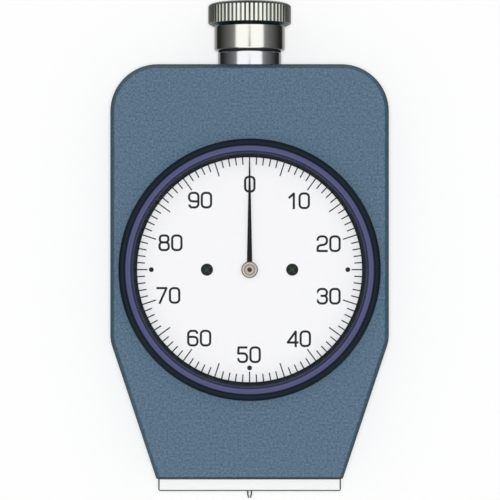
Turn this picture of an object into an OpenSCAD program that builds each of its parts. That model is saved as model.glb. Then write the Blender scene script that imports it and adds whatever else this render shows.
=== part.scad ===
// Dial durometer for rubber, lying on its back.
// The dial faces +Z, the knob points to +Y and the indenter to -Y.
// The origin is on the axis of the dial, in the plane of the back cover. Sizes are in millimetres.

/* [Case] */
// Width of the case
case_w = 67; // [66:0.5:74]
// Dial centre to the top face of the case
case_top = 49.4; // [48:0.2:56]
// Dial centre to the bottom face of the case
case_low = 50.4; // [49:0.2:56]
// Back face of the cover to the front face of the case
case_depth = 24; // [23:0.5:30]
// Width of the case at its bottom face
base_w = 44.8; // [44.4:0.2:50]
// Dial centre to the line where the sides begin to taper
shoulder_drop = 17.1; // [14:0.1:20]
// Radius of the two top corners
corner_r = 11; // [10:0.5:14]
// Radius of the bend where the taper begins
shoulder_r = 8; // [6:0.5:12]
// Radius of the two bottom corners
base_r = 1.2; // [0.8:0.1:2]
// Radius of the rounded front edge
edge_r = 1.2; // [0.6:0.1:1.8]
// Thickness of the side walls
case_wall = 2.5; // [2:0.1:3]
// Thickness of the front wall
front_wall = 2; // [1.6:0.1:2.4]
// Thickness of the back cover
cover_t = 2; // [1.6:0.1:2.6]
// Step from the case's side to the cover's edge
cover_inset = 0.15; // [0.1:0.05:0.3]
// Bevel of the cover's back edge
cover_edge = 0.5; // [0.3:0.1:0.8]
// Radius of the boss that holds the lower bush
bush_boss_r = 7; // [6.5:0.1:7.5]
// Height of that boss above the bottom face
boss_len = 8.4; // [8:0.1:10]

/* [Pressure foot and indenter] */
// Width of the foot
foot_w = 44; // [40:0.5:44]
// Depth of the foot, front to back
foot_d = 18; // [16:0.5:19]
// Thickness of the foot
foot_t = 3; // [2.6:0.1:4]
// Chamfer of the foot's lower edges
foot_chamfer = 0.4; // [0.2:0.1:0.6]
// Hole in the foot for the indenter
foot_hole_d = 3; // [2.8:0.1:3.6]
// Shank of the indenter
indenter_d = 1.25; // [1.1:0.05:1.4]
// Flat end of the indenter
indenter_tip_d = 0.79; // [0.7:0.01:0.85]
// Full angle of the indenter's cone
indenter_cone = 35; // [30:1:40]
// Length of the indenter inside the spindle
indenter_grip = 3; // [2:0.1:4]
// Length that stands out of the foot, which is also the travel
travel = 2.5; // [2.4:0.05:2.6]
// Distance of each foot screw from the middle
foot_screw_x = 15; // [14:0.5:16]

/* [Dial and bezel] */
// Outer diameter of the bezel
bezel_d = 62.4; // [61.6:0.2:63.2]
// Height of the bezel above the case
bezel_h = 7.4; // [7:0.1:8.4]
// Thickness of the bezel's skirt
bezel_wall = 2.15; // [1.9:0.05:2.4]
// Gap between the bezel and what it goes round
bezel_gap = 0.05; // [0.03:0.01:0.1]
// Reach of the bezel's lip over the crystal
lip_w = 2.25; // [2:0.05:2.5]
// Thickness of the lip at its edge
lip_t = 0.45; // [0.3:0.05:0.6]
// Width of the lip's slope
slope_w = 1.15; // [1:0.05:1.2]
// Width of the bezel's rounded shoulder
shoulder_w = 1.6; // [1.4:0.05:1.7]
// Height of the rounded shoulder
shoulder_h = 1.8; // [1.4:0.1:2.2]
// Height of the raised band above the shoulder
band_h = 0.9; // [0.7:0.1:1.1]
// Bevel of the band's edges
band_edge = 0.15; // [0.1:0.01:0.2]
// Width of the groove inside the band
groove_w = 0.2; // [0.1:0.05:0.3]
// Depth of that groove
groove_h = 0.45; // [0.3:0.05:0.6]
// Bevel of the skirt's foot
skirt_edge = 0.3; // [0.2:0.1:0.5]
// Wall of the spigot that carries the bezel
spigot_w = 1.4; // [1.2:0.1:1.6]
// Height of the spigot
spigot_h = 2.8; // [2.7:0.1:3.2]
// Thickness of the gasket under the crystal
gasket_t = 0.3; // [0.2:0.1:0.5]
// Thickness of the crystal
crystal_t = 1.5; // [1.2:0.1:1.8]
// Gap round the dial plate
dial_gap = 0.4; // [0.2:0.1:0.6]
// Thickness of the dial plate
dial_t = 0.8; // [0.6:0.1:1]
// Hole in the middle of the dial
dial_hole_d = 3.2; // [2.4:0.1:3.6]
// Distance of each dial screw from the centre
dial_screw_x = 10.2; // [10:0.1:11]
// Head of a dial screw
dial_screw_d = 2.9; // [2.6:0.1:3.4]
// Height of that head
dial_head_h = 0.45; // [0.35:0.05:0.5]
// Diameter of the posts that carry the dial
dial_post_d = 4.4; // [4:0.1:5]
// Gap from the window's edge to the pointer's tip
pointer_gap = 1.1; // [0.8:0.1:3]
// Width of the pointer at its hub
pointer_root_w = 1.05; // [0.8:0.05:1.3]
// Width of the pointer at its tip
pointer_tip_w = 0.28; // [0.2:0.02:0.4]
// Length of the pointer's sharp point
pointer_point = 0.2; // [0.1:0.1:0.6]
// Thickness of the pointer
pointer_t = 0.2; // [0.15:0.05:0.3]
// Diameter of the pointer's hub
hub_d = 3.95; // [3.6:0.05:4.4]
// Diameter of the hub's neck, which carries the pointer
hub_neck_d = 2.6; // [2.4:0.1:2.8]
// Height of the neck below the pointer
hub_neck_h = 0.5; // [0.4:0.05:0.6]
// Thickness of the hub's disc
hub_t = 0.6; // [0.5:0.05:0.7]
// Bevel of the hub's disc
hub_edge = 0.15; // [0.1:0.01:0.2]
// Width of the ring turned in the hub
hub_groove_w = 0.3; // [0.2:0.05:0.4]
// Depth of that ring
hub_groove_h = 0.12; // [0.08:0.01:0.2]

/* [Stem and knob] */
// Diameter of the neck that stands on the case
neck_d = 15.5; // [15.2:0.1:16.4]
// Height of the neck
neck_h = 3.5; // [3:0.1:5]
// Width of the shoulder under the knob's washer
neck_step = 1.5; // [1.2:0.1:1.6]
// Height of the thread for the knob
cap_thread_h = 8.2; // [8:0.1:8.6]
// Step from that thread to the thread for the nut
thread_step = 0.25; // [0.15:0.05:0.4]
// Wall of the stem at the nut
stem_wall = 1.2; // [1:0.1:1.3]
// Gap between the stem and the case
stem_gap = 0.1; // [0.05:0.05:0.2]
// Bevel of the stem's edges
stem_edge = 0.3; // [0.2:0.1:0.5]
// Width of the nut's ring, at its corners
nut_w = 3; // [2.4:0.1:3.4]
// Height of the nut
nut_h = 3.5; // [3:0.1:4]
// Thickness of the washer under the knob
washer_t = 0.5; // [0.4:0.1:0.8]
// Step from the neck's side to the washer
washer_inset = 0.1; // [0.05:0.05:0.2]
// Diameter of the knob's plain sleeve
sleeve_d = 17.2; // [16.8:0.1:18]
// Height of the plain sleeve
sleeve_h = 5.3; // [5:0.1:7]
// Bevel of the sleeve's lower edge
sleeve_edge = 0.4; // [0.2:0.1:0.6]
// Diameter of the knob's fluted collar
collar_d = 20.2; // [19.6:0.1:20.8]
// Height of the fluted collar with its two chamfers
collar_h = 6.4; // [6:0.1:8]
// Height of the slope under the collar
collar_slope = 1.3; // [1:0.1:1.6]
// Bevel of the collar's top
collar_edge = 0.9; // [0.6:0.1:1.2]
// Thickness of the knob's top
knob_roof = 2.6; // [2:0.1:2.8]
// Radial gap between the knob and its thread
knob_fit = 0.05; // [0.03:0.01:0.1]
// Number of flutes on the collar
flutes = 56; // [48:2:60]
// Depth of a flute
flute_depth = 0.3; // [0.2:0.05:0.35]
// Distance of a flute's centre outside the collar
flute_out = 0.15; // [0.1:0.05:0.2]

/* [Spindle and spring] */
// Diameter of the sliding spindle
spindle_d = 5; // [4.8:0.1:5.2]
// Gap between the spindle's end and the foot
spindle_gap = 0.5; // [0.3:0.1:0.8]
// Bevel of the spindle's ends
spindle_edge = 0.3; // [0.2:0.1:0.5]
// Diameter of the spindle's thin upper end
rod_d = 3; // [2.8:0.1:3.2]
// Length of that end above the adjusting plug
rod_over = 1.4; // [1:0.1:1.6]
// Radial clearance of a running fit
fit = 0.04; // [0.03:0.01:0.06]
// Wall of the lower bush
bush_wall = 1.46; // [1.3:0.02:1.8]
// Length of the upper bush
bush_len = 3.5; // [3:0.1:4]
// Thickness of the spring's seat on the spindle
seat_h = 1.5; // [1.2:0.1:1.8]
// Gap round the spring's seat
seat_gap = 0.6; // [0.4:0.1:0.8]
// Mean diameter of the coil spring
spring_d = 7; // [6.6:0.1:7.2]
// Wire of the coil spring
wire_d = 0.8; // [0.7:0.05:0.9]
// Number of coils
coils = 6; // [5:0.5:7]
// Length of the spring as fitted
spring_len = 10; // [9.5:0.1:10.5]
// Height of the adjusting plug
plug_h = 6; // [5.5:0.1:6.5]
// Depth of the plug below the stem's end
plug_drop = 3.5; // [3.2:0.1:4]
// Width and depth of the plug's slot
plug_slot = 1.2; // [1:0.1:1.4]
// Dial centre to the guide pin
guide_y = 12.5; // [12:0.1:13.5]
// Diameter of the guide pin
guide_pin_d = 2; // [1.8:0.1:2.2]
// Depth of the pin past the spindle's axis
guide_pin_in = 1.6; // [1.2:0.1:1.8]
// Gap between the spindle and the guide block
guide_gap = 0.6; // [0.4:0.1:0.8]
// Width of the guide block
guide_w = 5.2; // [5:0.1:6]
// Wall of the guide block behind the pin
guide_floor = 1.6; // [1.4:0.1:2]
// Wall of the guide block at the pin's end
guide_wall = 1; // [0.8:0.1:1.2]
// Gap at the pin's end
guide_end_gap = 0.6; // [0.4:0.1:0.8]
// Length of the block past the pin's travel
guide_over = 4; // [3.8:0.1:4.5]

/* [Gear train] */
// Pitch of the rack on the spindle
rack_pitch = 0.625; // [0.6:0.005:0.65]
// Depth of the rack's pitch line in the spindle
rack_depth = 0.55; // [0.5:0.01:0.6]
// Plain flat at each end of the rack
rack_over = 1.2; // [1:0.1:1.6]
// Teeth of the pinion that the rack turns
rack_teeth = 16; // [14:1:18]
// Length of that pinion
rack_pinion_len = 4; // [3.6:0.1:4.2]
// Module of the two wheels
wheel_module = 0.25; // [0.24:0.01:0.26]
// Teeth of the first wheel
wheel_teeth = 80; // [76:4:84]
// Teeth of the centre pinion, which carries the pointer
centre_teeth = 20; // [18:1:21]
// Length of the centre pinion past the wheels
pinion_over = 0.3; // [0.2:0.05:0.4]
// Teeth of the take-up wheel
takeup_teeth = 60; // [56:2:62]
// Thickness of a wheel
wheel_t = 0.8; // [0.6:0.1:1]
// Play between two teeth
backlash = 0.03; // [0.02:0.01:0.05]
// Diameter of an arbor's pivots
pivot_d = 1; // [0.9:0.05:1.1]
// Diameter of an arbor
arbor_d = 1.6; // [1.4:0.1:1.8]
// Diameter of the pointer's arbor
centre_d = 1.8; // [1.6:0.1:2]
// Play of an arbor along its axis
end_play = 0.1; // [0.05:0.05:0.15]
// Width of the flange that backs a wheel
flange_w = 0.8; // [0.6:0.1:1]
// Thickness of that flange
flange_t = 0.35; // [0.2:0.05:0.35]
// Angle of the take-up wheel round the centre
takeup_angle = 37; // [30:1:42]

/* [Movement plates] */
// Thickness of the movement's plates
plate_t = 1; // [0.8:0.1:1.2]
// Gap between the spindle and the main plate
plate_gap = 0.4; // [0.3:0.05:0.5]
// Gap between neighbouring layers of the movement
layer_gap = 0.5; // [0.4:0.05:0.6]
// Half the distance between the upper posts
post_x_top = 24.5; // [24:0.1:26]
// Dial centre up to the upper posts
post_y_top = 20; // [19:0.5:24]
// Half the distance between the lower posts
post_x_low = 23.5; // [23:0.1:24]
// Dial centre down to the lower posts
post_y_low = 20.5; // [20:0.1:21]
// Diameter of a post
post_d = 6; // [5.6:0.1:6.4]
// Radius of the main plate's corners
lug_r = 3.6; // [3.2:0.1:4]
// Radius of the front plate
front_plate_r = 21; // [20.5:0.1:22]
// Diameter of a pillar
pillar_d = 4; // [3.8:0.1:4.2]
// Diameter of the tenons of pillars and dial posts
tenon_d = 2.4; // [2:0.1:2.6]
// Distance of the bridge's back behind the spindle's axis
bridge_drop = 4.8; // [4.6:0.1:5.2]
// Thickness of the bridge
bridge_t = 1.2; // [1:0.1:1.4]
// Width of the bridge
bridge_w = 4.4; // [4:0.1:5]
// First arbor to the far side of the bridge's leg
bridge_reach = 9; // [8.6:0.1:10]
// Length of the bridge past the first arbor
bridge_over = 1.8; // [1.4:0.1:2]
// Thickness of the bridge's leg
bridge_leg = 2.8; // [2.4:0.1:3.2]
// Diameter of the bridge's tenons
bridge_tenon_d = 1.2; // [1:0.1:1.4]
// Distance between the bridge's tenons
bridge_tenon_gap = 2.4; // [2:0.1:2.6]

/* [Take-up spring] */
// Diameter of the collet
collet_d = 2.6; // [2.4:0.1:2.8]
// Height of the collet past the strip
collet_over = 0.2; // [0.1:0.05:0.3]
// Thickness of the strip
strip_w = 0.15; // [0.1:0.01:0.2]
// Height of the strip
strip_h = 0.5; // [0.4:0.05:0.6]
// Growth of the strip's radius in each half turn
strip_step = 0.36; // [0.32:0.02:0.4]
// Half turns of the strip
half_turns = 12; // [10:2:12]
// Angle at which the strip begins
strip_angle = 10; // [0:1:30]
// Width of the stud that holds its outer end
stud_w = 1; // [0.8:0.1:1.1]
// Length of the stud
stud_len = 1.6; // [1.4:0.1:2]
// Length of the stud behind the strip
stud_over = 0.2; // [0.1:0.05:0.3]

/* [Screws] */
// Cover screws
cover_screw_d = 2.5; // [2.2:0.1:2.8]
// Heads of the cover screws
cover_head_d = 4.6; // [4.2:0.1:4.8]
// Slots of the cover screws
cover_slot = 0.6; // [0.5:0.05:0.8]
// Length of a cover screw in its boss
cover_grip = 4.5; // [4:0.1:5]
// Bosses for the cover screws
cover_boss_d = 6.4; // [6:0.1:6.8]
// Length of those bosses
cover_boss_len = 8; // [7:0.5:9]
// Foot screws
foot_screw_d = 3; // [2.6:0.1:3.2]
// Heads of the foot screws
foot_head_d = 5.6; // [5:0.1:6]
// Slots of the foot screws
foot_slot = 0.7; // [0.6:0.05:0.9]
// Length of a foot screw in its boss
foot_grip = 5; // [4:0.1:5.5]
// Bosses for the foot screws
foot_boss_d = 7; // [6:0.1:7.4]
// Length of those bosses
foot_boss_len = 7; // [6.5:0.1:8]
// Screws of the main plate
plate_screw_d = 2; // [1.8:0.1:2.2]
// Heads of the plate screws
plate_head_d = 4.2; // [3.8:0.1:4.6]
// Height of those heads
plate_head_h = 1.4; // [1.2:0.1:1.6]
// Slots of the plate screws
plate_slot = 0.6; // [0.5:0.05:0.8]
// Length of a plate screw in its post
plate_grip = 3.5; // [3:0.1:4]
// Screws of the pillars and the guide block
small_screw_d = 1.6; // [1.4:0.1:1.8]
// Heads of the small screws
small_head_d = 3.1; // [2.8:0.1:3.3]
// Height of those heads
small_head_h = 0.9; // [0.7:0.05:1]
// Slots of the small screws and the dial screws
small_slot = 0.4; // [0.3:0.05:0.5]
// Length of a small screw in its pillar
pillar_grip = 2.2; // [1.8:0.1:2.6]
// Length of a small screw in the guide block
guide_grip = 1.3; // [1:0.05:1.4]
// Shanks of the dial screws
dial_shank_d = 1.4; // [1.2:0.1:1.6]
// Length of a dial screw in its post
dial_grip = 1.8; // [1.6:0.1:2]
// Depth of a slot in a countersunk head
flat_slot_h = 0.5; // [0.4:0.05:0.6]
// Depth of a countersunk head below its face
head_sink = 0.1; // [0.05:0.05:0.2]
// Radial gap round a screw in a plain hole
screw_gap = 0.1; // [0.05:0.05:0.2]
// Depth of a tapped hole past its screw
tap_over = 0.4; // [0.2:0.1:0.5]

/* [Hidden] */
$fn = 96;
// Length by which a cut runs past a face
over = 1;
// Depth by which joined shapes run into each other
lap = 0.1;

// Case outline
taper = atan((case_w - base_w) / 2 / (case_low - shoulder_drop));
cavity_top = case_top - case_wall;
cavity_front = case_depth - front_wall;
spindle_z = case_depth / 2;

// Foot and indenter
foot_face = -case_low - foot_t;
tip_y = foot_face - travel;
cone_len = (indenter_d - indenter_tip_d) / 2 / tan(indenter_cone / 2);

// Bezel, crystal, dial and pointer, from the outside in
bezel_r = bezel_d / 2;
bezel_in_r = bezel_r - bezel_wall;
window_d = 2 * (bezel_in_r - lip_w);
spigot_r = bezel_in_r - bezel_gap;
opening_r = spigot_r - spigot_w;
dial_d = 2 * (opening_r - dial_gap);
pointer_r = window_d / 2 - pointer_gap;
dial_z = case_depth;
crystal_z = case_depth + spigot_h + gasket_t;
lip_z = crystal_z + crystal_t;
bezel_top = case_depth + bezel_h;

// Heights of the needle and its hub above the dial
hub_low = dial_z + dial_t + dial_head_h;
needle_z = hub_low + hub_neck_h;
hub_disc = needle_z + pointer_t;
hub_high = hub_disc + hub_t;

// Stem, knob and spring
cap_thread_r = neck_d / 2 - neck_step;
thread_r = cap_thread_r - thread_step;
stem_bore_r = thread_r - stem_wall;
neck_top = case_top + neck_h;
knob_low = neck_top + washer_t;
collar_low = knob_low + sleeve_h;
knob_top = collar_low + collar_h;
stem_top = neck_top + cap_thread_h;
plug_top = stem_top - plug_drop;
spring_high = plug_top - plug_h;
spring_low = spring_high - spring_len;
seat_low = spring_low - seat_h;
stem_low = seat_low - bush_len;
seat_r = stem_bore_r - seat_gap;
spindle_low = -case_low + spindle_gap;
rod_top = plug_top + rod_over;
bush_in_r = spindle_d / 2 + fit;
bush_r = bush_in_r + bush_wall;

// Movement, in layers from the spindle to the dial
main_z = spindle_z + spindle_d / 2 + plate_gap;
main_front = main_z + plate_t;
wheel_z = main_front + layer_gap;
takeup_z = wheel_z + wheel_t + layer_gap;
coil_z = takeup_z + wheel_t + layer_gap;
front_z = coil_z + strip_h + layer_gap;
front_front = front_z + plate_t;
pivot_r = pivot_d / 2;
arbor_r = arbor_d / 2;
centre_r = centre_d / 2;
bridge_z = spindle_z - bridge_drop;

// Gears: stub involute teeth, with their heights as shares of the module
addendum = 0.85;
dedendum = 1.15;
pressure = 20;
rack_module = rack_pitch / PI;
rack_pinion_r = rack_module * rack_teeth / 2;
rack_line = spindle_d / 2 - rack_depth;
wheel_r = wheel_module * wheel_teeth / 2;
centre_pitch_r = wheel_module * centre_teeth / 2;
takeup_r = wheel_module * takeup_teeth / 2;
arbor_x = -(rack_line + rack_pinion_r);
arbor_y = -sqrt(pow(wheel_r + centre_pitch_r, 2) - pow(arbor_x, 2));
mesh_angle = atan2(-arbor_y, -arbor_x);
takeup_x = (takeup_r + centre_pitch_r) * cos(takeup_angle);
takeup_y = (takeup_r + centre_pitch_r) * sin(takeup_angle);
centre_step = 360 / centre_teeth;
centre_phase = mesh_angle + 180 + centre_step / 2;
tooth_count = (centre_phase - takeup_angle) / centre_step;
tooth_ahead = (tooth_count - round(tooth_count)) * centre_step;
takeup_phase = takeup_angle + 180 - tooth_ahead * centre_teeth / takeup_teeth + 180 / takeup_teeth;
rack_low = arbor_y - travel - rack_pinion_r - rack_over;
rack_high = arbor_y + rack_pinion_r + rack_over;

// Guide of the spindle
guide_in = spindle_d / 2 + guide_gap;
guide_low = guide_y - guide_over;
guide_high = guide_y + travel + guide_over;
guide_back = spindle_z - guide_pin_d / 2 - guide_floor;
guide_pin_end = guide_in + guide_w - guide_wall - guide_end_gap;

// Take-up spring: half rings about two centres in turn
function strip_r(k) = collet_d / 2 + strip_w / 2 + k * strip_step;
strip_end = strip_step + strip_r(half_turns - 1);

// Places of the pillars, posts and screws
pillar_spots = [[-13.5, 9], [-2, 17.5], [13, -12.5]];
post_spots = [
    [-post_x_top, post_y_top], [post_x_top, post_y_top],
    [-post_x_low, -post_y_low], [post_x_low, -post_y_low]];
guide_screw_spots = [
    for (y = [guide_low + guide_over / 2, guide_high - guide_over / 2]) [guide_in + guide_w / 2, y]];
bridge_x = arbor_x - bridge_reach;
bridge_tenons = [for (s = [-1, 1]) [bridge_x + bridge_leg / 2, arbor_y + s * bridge_tenon_gap / 2]];

// Side line of the case at height y, moved in by d
function side_x(y, d) = base_w / 2 + (y + case_low) * tan(taper) - d / cos(taper);

// The cover's bosses run a little way into the case's walls
boss_in = case_wall + cover_boss_d / 2 - over;
corner_reach = (corner_r - boss_in) / sqrt(2);
cover_spots = [
    for (s = [-1, 1]) [s * (case_w / 2 - corner_r + corner_reach), case_top - corner_r + corner_reach],
    for (s = [-1, 1]) [s * side_x(-case_low + boss_in, boss_in), -case_low + boss_in]];

// Involute gear outline
function inv(a) = tan(a) * 180 / PI - a;
function half_tooth(n, m, r) =
    let (rp = n * m / 2, rb = rp * cos(pressure))
    90 / n - backlash / 2 / rp * 180 / PI + inv(pressure) - inv(acos(min(1, rb / r)));
function flank_r(n, m, k) =
    let (rp = n * m / 2, rs = max(rp * cos(pressure), rp - dedendum * m), rt = rp + addendum * m)
    rs + (rt - rs) * k / 2;
function on_circle(r, a) = [r * cos(a), r * sin(a)];
function gear_points(n, m) = [
    for (i = [0 : n - 1]) let (c = i * 360 / n, rr = n * m / 2 - dedendum * m, s = flank_r(n, m, 0)) each concat(
        [on_circle(rr, c - half_tooth(n, m, s))],
        [for (k = [0 : 2]) on_circle(flank_r(n, m, k), c - half_tooth(n, m, flank_r(n, m, k)))],
        [for (k = [2 : -1 : 0]) on_circle(flank_r(n, m, k), c + half_tooth(n, m, flank_r(n, m, k)))],
        [on_circle(rr, c + half_tooth(n, m, s))])];

// Outline of the cut that leaves the rack's teeth standing
rack_tip = rack_line + addendum * rack_module;
rack_root = rack_line - dedendum * rack_module;
tip_half = rack_pitch / 4 - backlash / 2 - addendum * rack_module * tan(pressure);
root_half = rack_pitch / 4 - backlash / 2 + dedendum * rack_module * tan(pressure);
rack_first = ceil((rack_low + rack_pitch / 2 - arbor_y) / rack_pitch);
rack_last = floor((rack_high - rack_pitch - arbor_y) / rack_pitch);
rack_cut = concat(
    [[-spindle_d, rack_low], [-rack_root, rack_low]],
    [for (k = [rack_first : rack_last]) let (y = arbor_y + (k + 0.5) * rack_pitch) each [
        [-rack_root, y - root_half], [-rack_tip, y - tip_half],
        [-rack_tip, y + tip_half], [-rack_root, y + root_half]]],
    [[-rack_root, rack_high], [-spindle_d, rack_high]]);

// Coil spring as a swept tube
ring_n = 8;
turn_n = 20;
steps = ceil(coils * turn_n);
function coil_point(i, j) =
    let (a = i * 360 / turn_n, b = j * 360 / ring_n, r = spring_d / 2 + wire_d / 2 * cos(b))
    [r * cos(a), r * sin(a), spring_low + wire_d / 2 + (spring_len - wire_d) * i / steps + wire_d / 2 * sin(b)];
coil_points = [for (i = [0 : steps], j = [0 : ring_n - 1]) coil_point(i, j)];
coil_faces = concat(
    [[for (j = [0 : ring_n - 1]) j]],
    [for (i = [0 : steps - 1], j = [0 : ring_n - 1]) each [
        [i * ring_n + j, (i + 1) * ring_n + j, (i + 1) * ring_n + (j + 1) % ring_n],
        [i * ring_n + j, (i + 1) * ring_n + (j + 1) % ring_n, i * ring_n + (j + 1) % ring_n]]],
    [[for (j = [ring_n - 1 : -1 : 0]) steps * ring_n + j]]);

// Places its children on the spindle's axis, with their Z along +Y
module on_axis() {
    translate([0, 0, spindle_z]) rotate([-90, 0, 0]) children();
}

module spots(places) {
    for (p = places) translate([p[0], p[1], 0]) children();
}

module at_foot_screws() {
    for (s = [-1, 1]) translate([s * foot_screw_x, 0, 0]) on_axis() children();
}

module at_dial_screws() {
    for (s = [-1, 1]) translate([s * dial_screw_x, 0, 0]) children();
}

module at_first_arbor() {
    translate([arbor_x, arbor_y, 0]) children();
}

module at_takeup_arbor() {
    translate([takeup_x, takeup_y, 0]) children();
}

module at_strip() {
    at_takeup_arbor() rotate([0, 0, strip_angle]) children();
}

module at_stud() {
    at_strip() translate([strip_end, stud_len / 2, 0]) children();
}

module bar(r, low, high) {
    translate([0, 0, low]) cylinder(r = r, h = high - low);
}

// A bar that cuts through both faces
module hole(r, low, high) {
    bar(r, low - over, high + over);
}

module ring(outer, inner, low, high) {
    difference() {
        bar(outer, low, high);
        hole(inner, low, high);
    }
}

// The six round corners of the case outline, moved in by d
module corners(d, low, high) {
    for (s = [-1, 1]) {
        translate([s * (case_w / 2 - corner_r), case_top - corner_r, low])
            cylinder(r = corner_r - d, h = high - low, $fn = 48);
        translate([s * (case_w / 2 - shoulder_r), -shoulder_drop + shoulder_r * tan(taper / 2), low])
            cylinder(r = shoulder_r - d, h = high - low, $fn = 48);
        translate([s * side_x(-case_low + d + base_r, d + base_r), -case_low + d + base_r, low])
            cylinder(r = base_r, h = high - low, $fn = 32);
    }
}

// Solid case with its rounded front edge
module case_body() {
    hull() {
        corners(0, cover_t, case_depth - edge_r);
        for (a = [18 : 18 : 90])
            corners(edge_r * (1 - cos(a)), case_depth - edge_r, case_depth - edge_r * (1 - sin(a)));
    }
}

// Posts and bosses inside the case
module case_bosses() {
    spots(post_spots) bar(post_d / 2, main_front, cavity_front + front_wall / 2);
    spots(cover_spots) bar(cover_boss_d / 2, cover_t, cover_t + cover_boss_len);
    on_axis() bar(bush_boss_r, -case_low + case_wall / 2, -case_low + boss_len);
    at_foot_screws() bar(foot_boss_d / 2, -case_low + case_wall / 2, -case_low + foot_boss_len);
}

module case_shell() {
    color("#5c7388")
    difference() {
        union() {
            difference() {
                union() {
                    case_body();
                    bar(spigot_r, case_depth - front_wall / 2, case_depth + spigot_h);
                }
                hull() corners(case_wall, cover_t - over, cavity_front);
            }
            case_bosses();
        }
        hole(opening_r, cavity_front, case_depth + spigot_h);
        spots(post_spots) bar(plate_screw_d / 2, main_front - over, main_front + plate_grip + tap_over);
        spots(cover_spots) bar(cover_screw_d / 2, cover_t - over, cover_t + cover_grip + tap_over);
        on_axis() hole(bush_r, -case_low, -case_low + boss_len);
        on_axis() hole(thread_r + stem_gap, cavity_top, case_top);
        at_foot_screws() bar(foot_screw_d / 2, -case_low - over, -case_low + foot_grip + tap_over);
    }
}

// Cut for a countersunk head that opens at z = 0
module countersink(head_d, shank_d) {
    cut_r = head_d / 2 + head_sink;
    translate([0, 0, -lap]) cylinder(r1 = cut_r + lap, r2 = shank_d / 2, h = cut_r + lap - shank_d / 2);
}

// Countersunk screw with its head just inside z = 0 and its shank along +Z
module flat_screw(head_d, shank_d, length, slot) {
    cone = (head_d - shank_d) / 2 - head_sink;
    difference() {
        union() {
            translate([0, 0, head_sink]) cylinder(r1 = head_d / 2 - head_sink, r2 = shank_d / 2, h = cone);
            bar(shank_d / 2, head_sink + cone / 2, length);
        }
        translate([-head_d, -slot / 2, -over]) cube([2 * head_d, slot, over + head_sink + flat_slot_h]);
    }
}

// Round-headed screw with its head standing on z = 0 and its shank along -Z
module round_screw(head_d, head_h, shank_d, length, slot) {
    difference() {
        union() {
            bar(head_d / 2, 0, head_h);
            bar(shank_d / 2, -length, head_h / 2);
        }
        translate([-head_d, -slot / 2, head_h / 2]) cube([2 * head_d, slot, head_h]);
    }
}

module back_cover() {
    color("#56697c")
    difference() {
        hull() {
            corners(cover_inset + cover_edge, 0, cover_edge);
            corners(cover_inset, cover_edge, cover_t);
        }
        spots(cover_spots) hole(cover_screw_d / 2 + screw_gap, 0, cover_t);
        spots(cover_spots) countersink(cover_head_d, cover_screw_d);
    }
}

module cover_screws() {
    color("#b9bdc0")
    spots(cover_spots) rotate([0, 0, 30]) flat_screw(cover_head_d, cover_screw_d, cover_t + cover_grip, cover_slot);
}

module pressure_foot() {
    color("#e6e8e8")
    difference() {
        translate([0, 0, spindle_z - foot_d / 2]) linear_extrude(foot_d) polygon([
            [-foot_w / 2, -case_low], [-foot_w / 2, foot_face + foot_chamfer],
            [-foot_w / 2 + foot_chamfer, foot_face], [foot_w / 2 - foot_chamfer, foot_face],
            [foot_w / 2, foot_face + foot_chamfer], [foot_w / 2, -case_low]]);
        on_axis() hole(foot_hole_d / 2, foot_face, -case_low);
        at_foot_screws() hole(foot_screw_d / 2 + screw_gap, foot_face, -case_low);
        at_foot_screws() translate([0, 0, foot_face]) countersink(foot_head_d, foot_screw_d);
    }
}

module foot_screws() {
    color("#9a9ea2")
    at_foot_screws() translate([0, 0, foot_face])
        flat_screw(foot_head_d, foot_screw_d, foot_t + foot_grip, foot_slot);
}

module bezel() {
    window_r = window_d / 2;
    shoulder_top = bezel_top - band_h;
    band_out = bezel_r - shoulder_w;
    band_in = window_r + slope_w + groove_w;
    color("#20262e")
    rotate_extrude() polygon([
        [bezel_in_r, case_depth], [bezel_r - skirt_edge, case_depth], [bezel_r, case_depth + skirt_edge],
        [bezel_r, shoulder_top - shoulder_h], [bezel_r - shoulder_w * 0.16, shoulder_top - shoulder_h * 0.56],
        [bezel_r - shoulder_w * 0.5, shoulder_top - shoulder_h * 0.2], [band_out, shoulder_top],
        [band_out, bezel_top - band_edge], [band_out - band_edge, bezel_top],
        [band_in + band_edge, bezel_top], [band_in, bezel_top - band_edge],
        [band_in, bezel_top - groove_h], [band_in - groove_w, bezel_top - groove_h],
        [window_r, lip_z + lip_t], [window_r, lip_z], [bezel_in_r, lip_z]]);
}

module crystal_gasket() {
    color("#15181b") ring(spigot_r - 2 * bezel_gap, opening_r, crystal_z - gasket_t, crystal_z);
}

module crystal() {
    color([0.85, 0.93, 0.97, 0.35]) bar(spigot_r - bezel_gap, crystal_z, lip_z);
}

module dial_plate() {
    color("#f7f7fa")
    difference() {
        bar(dial_d / 2, dial_z, dial_z + dial_t);
        hole(dial_hole_d / 2, dial_z, dial_z + dial_t);
        at_dial_screws() hole(dial_shank_d / 2 + screw_gap, dial_z, dial_z + dial_t);
    }
}

module dial_screws() {
    color("#1c2022")
    at_dial_screws() translate([0, 0, dial_z + dial_t]) rotate([0, 0, 40])
        round_screw(dial_screw_d, dial_head_h, dial_shank_d, dial_t + dial_grip, small_slot);
}

module dial_posts() {
    color("#c9a75a")
    at_dial_screws() difference() {
        union() {
            bar(dial_post_d / 2, front_front, dial_z);
            bar(tenon_d / 2, front_z, front_front + lap);
        }
        bar(dial_shank_d / 2, dial_z - dial_grip - tap_over, dial_z + over);
    }
}

module stem() {
    color("#cfd3d5")
    on_axis() rotate_extrude() polygon([
        [stem_bore_r, stem_low], [thread_r - stem_edge, stem_low], [thread_r, stem_low + stem_edge],
        [thread_r, case_top], [neck_d / 2, case_top], [neck_d / 2, neck_top - stem_edge],
        [neck_d / 2 - stem_edge, neck_top], [cap_thread_r, neck_top], [cap_thread_r, stem_top - stem_edge],
        [cap_thread_r - stem_edge, stem_top], [stem_bore_r, stem_top]]);
}

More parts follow.
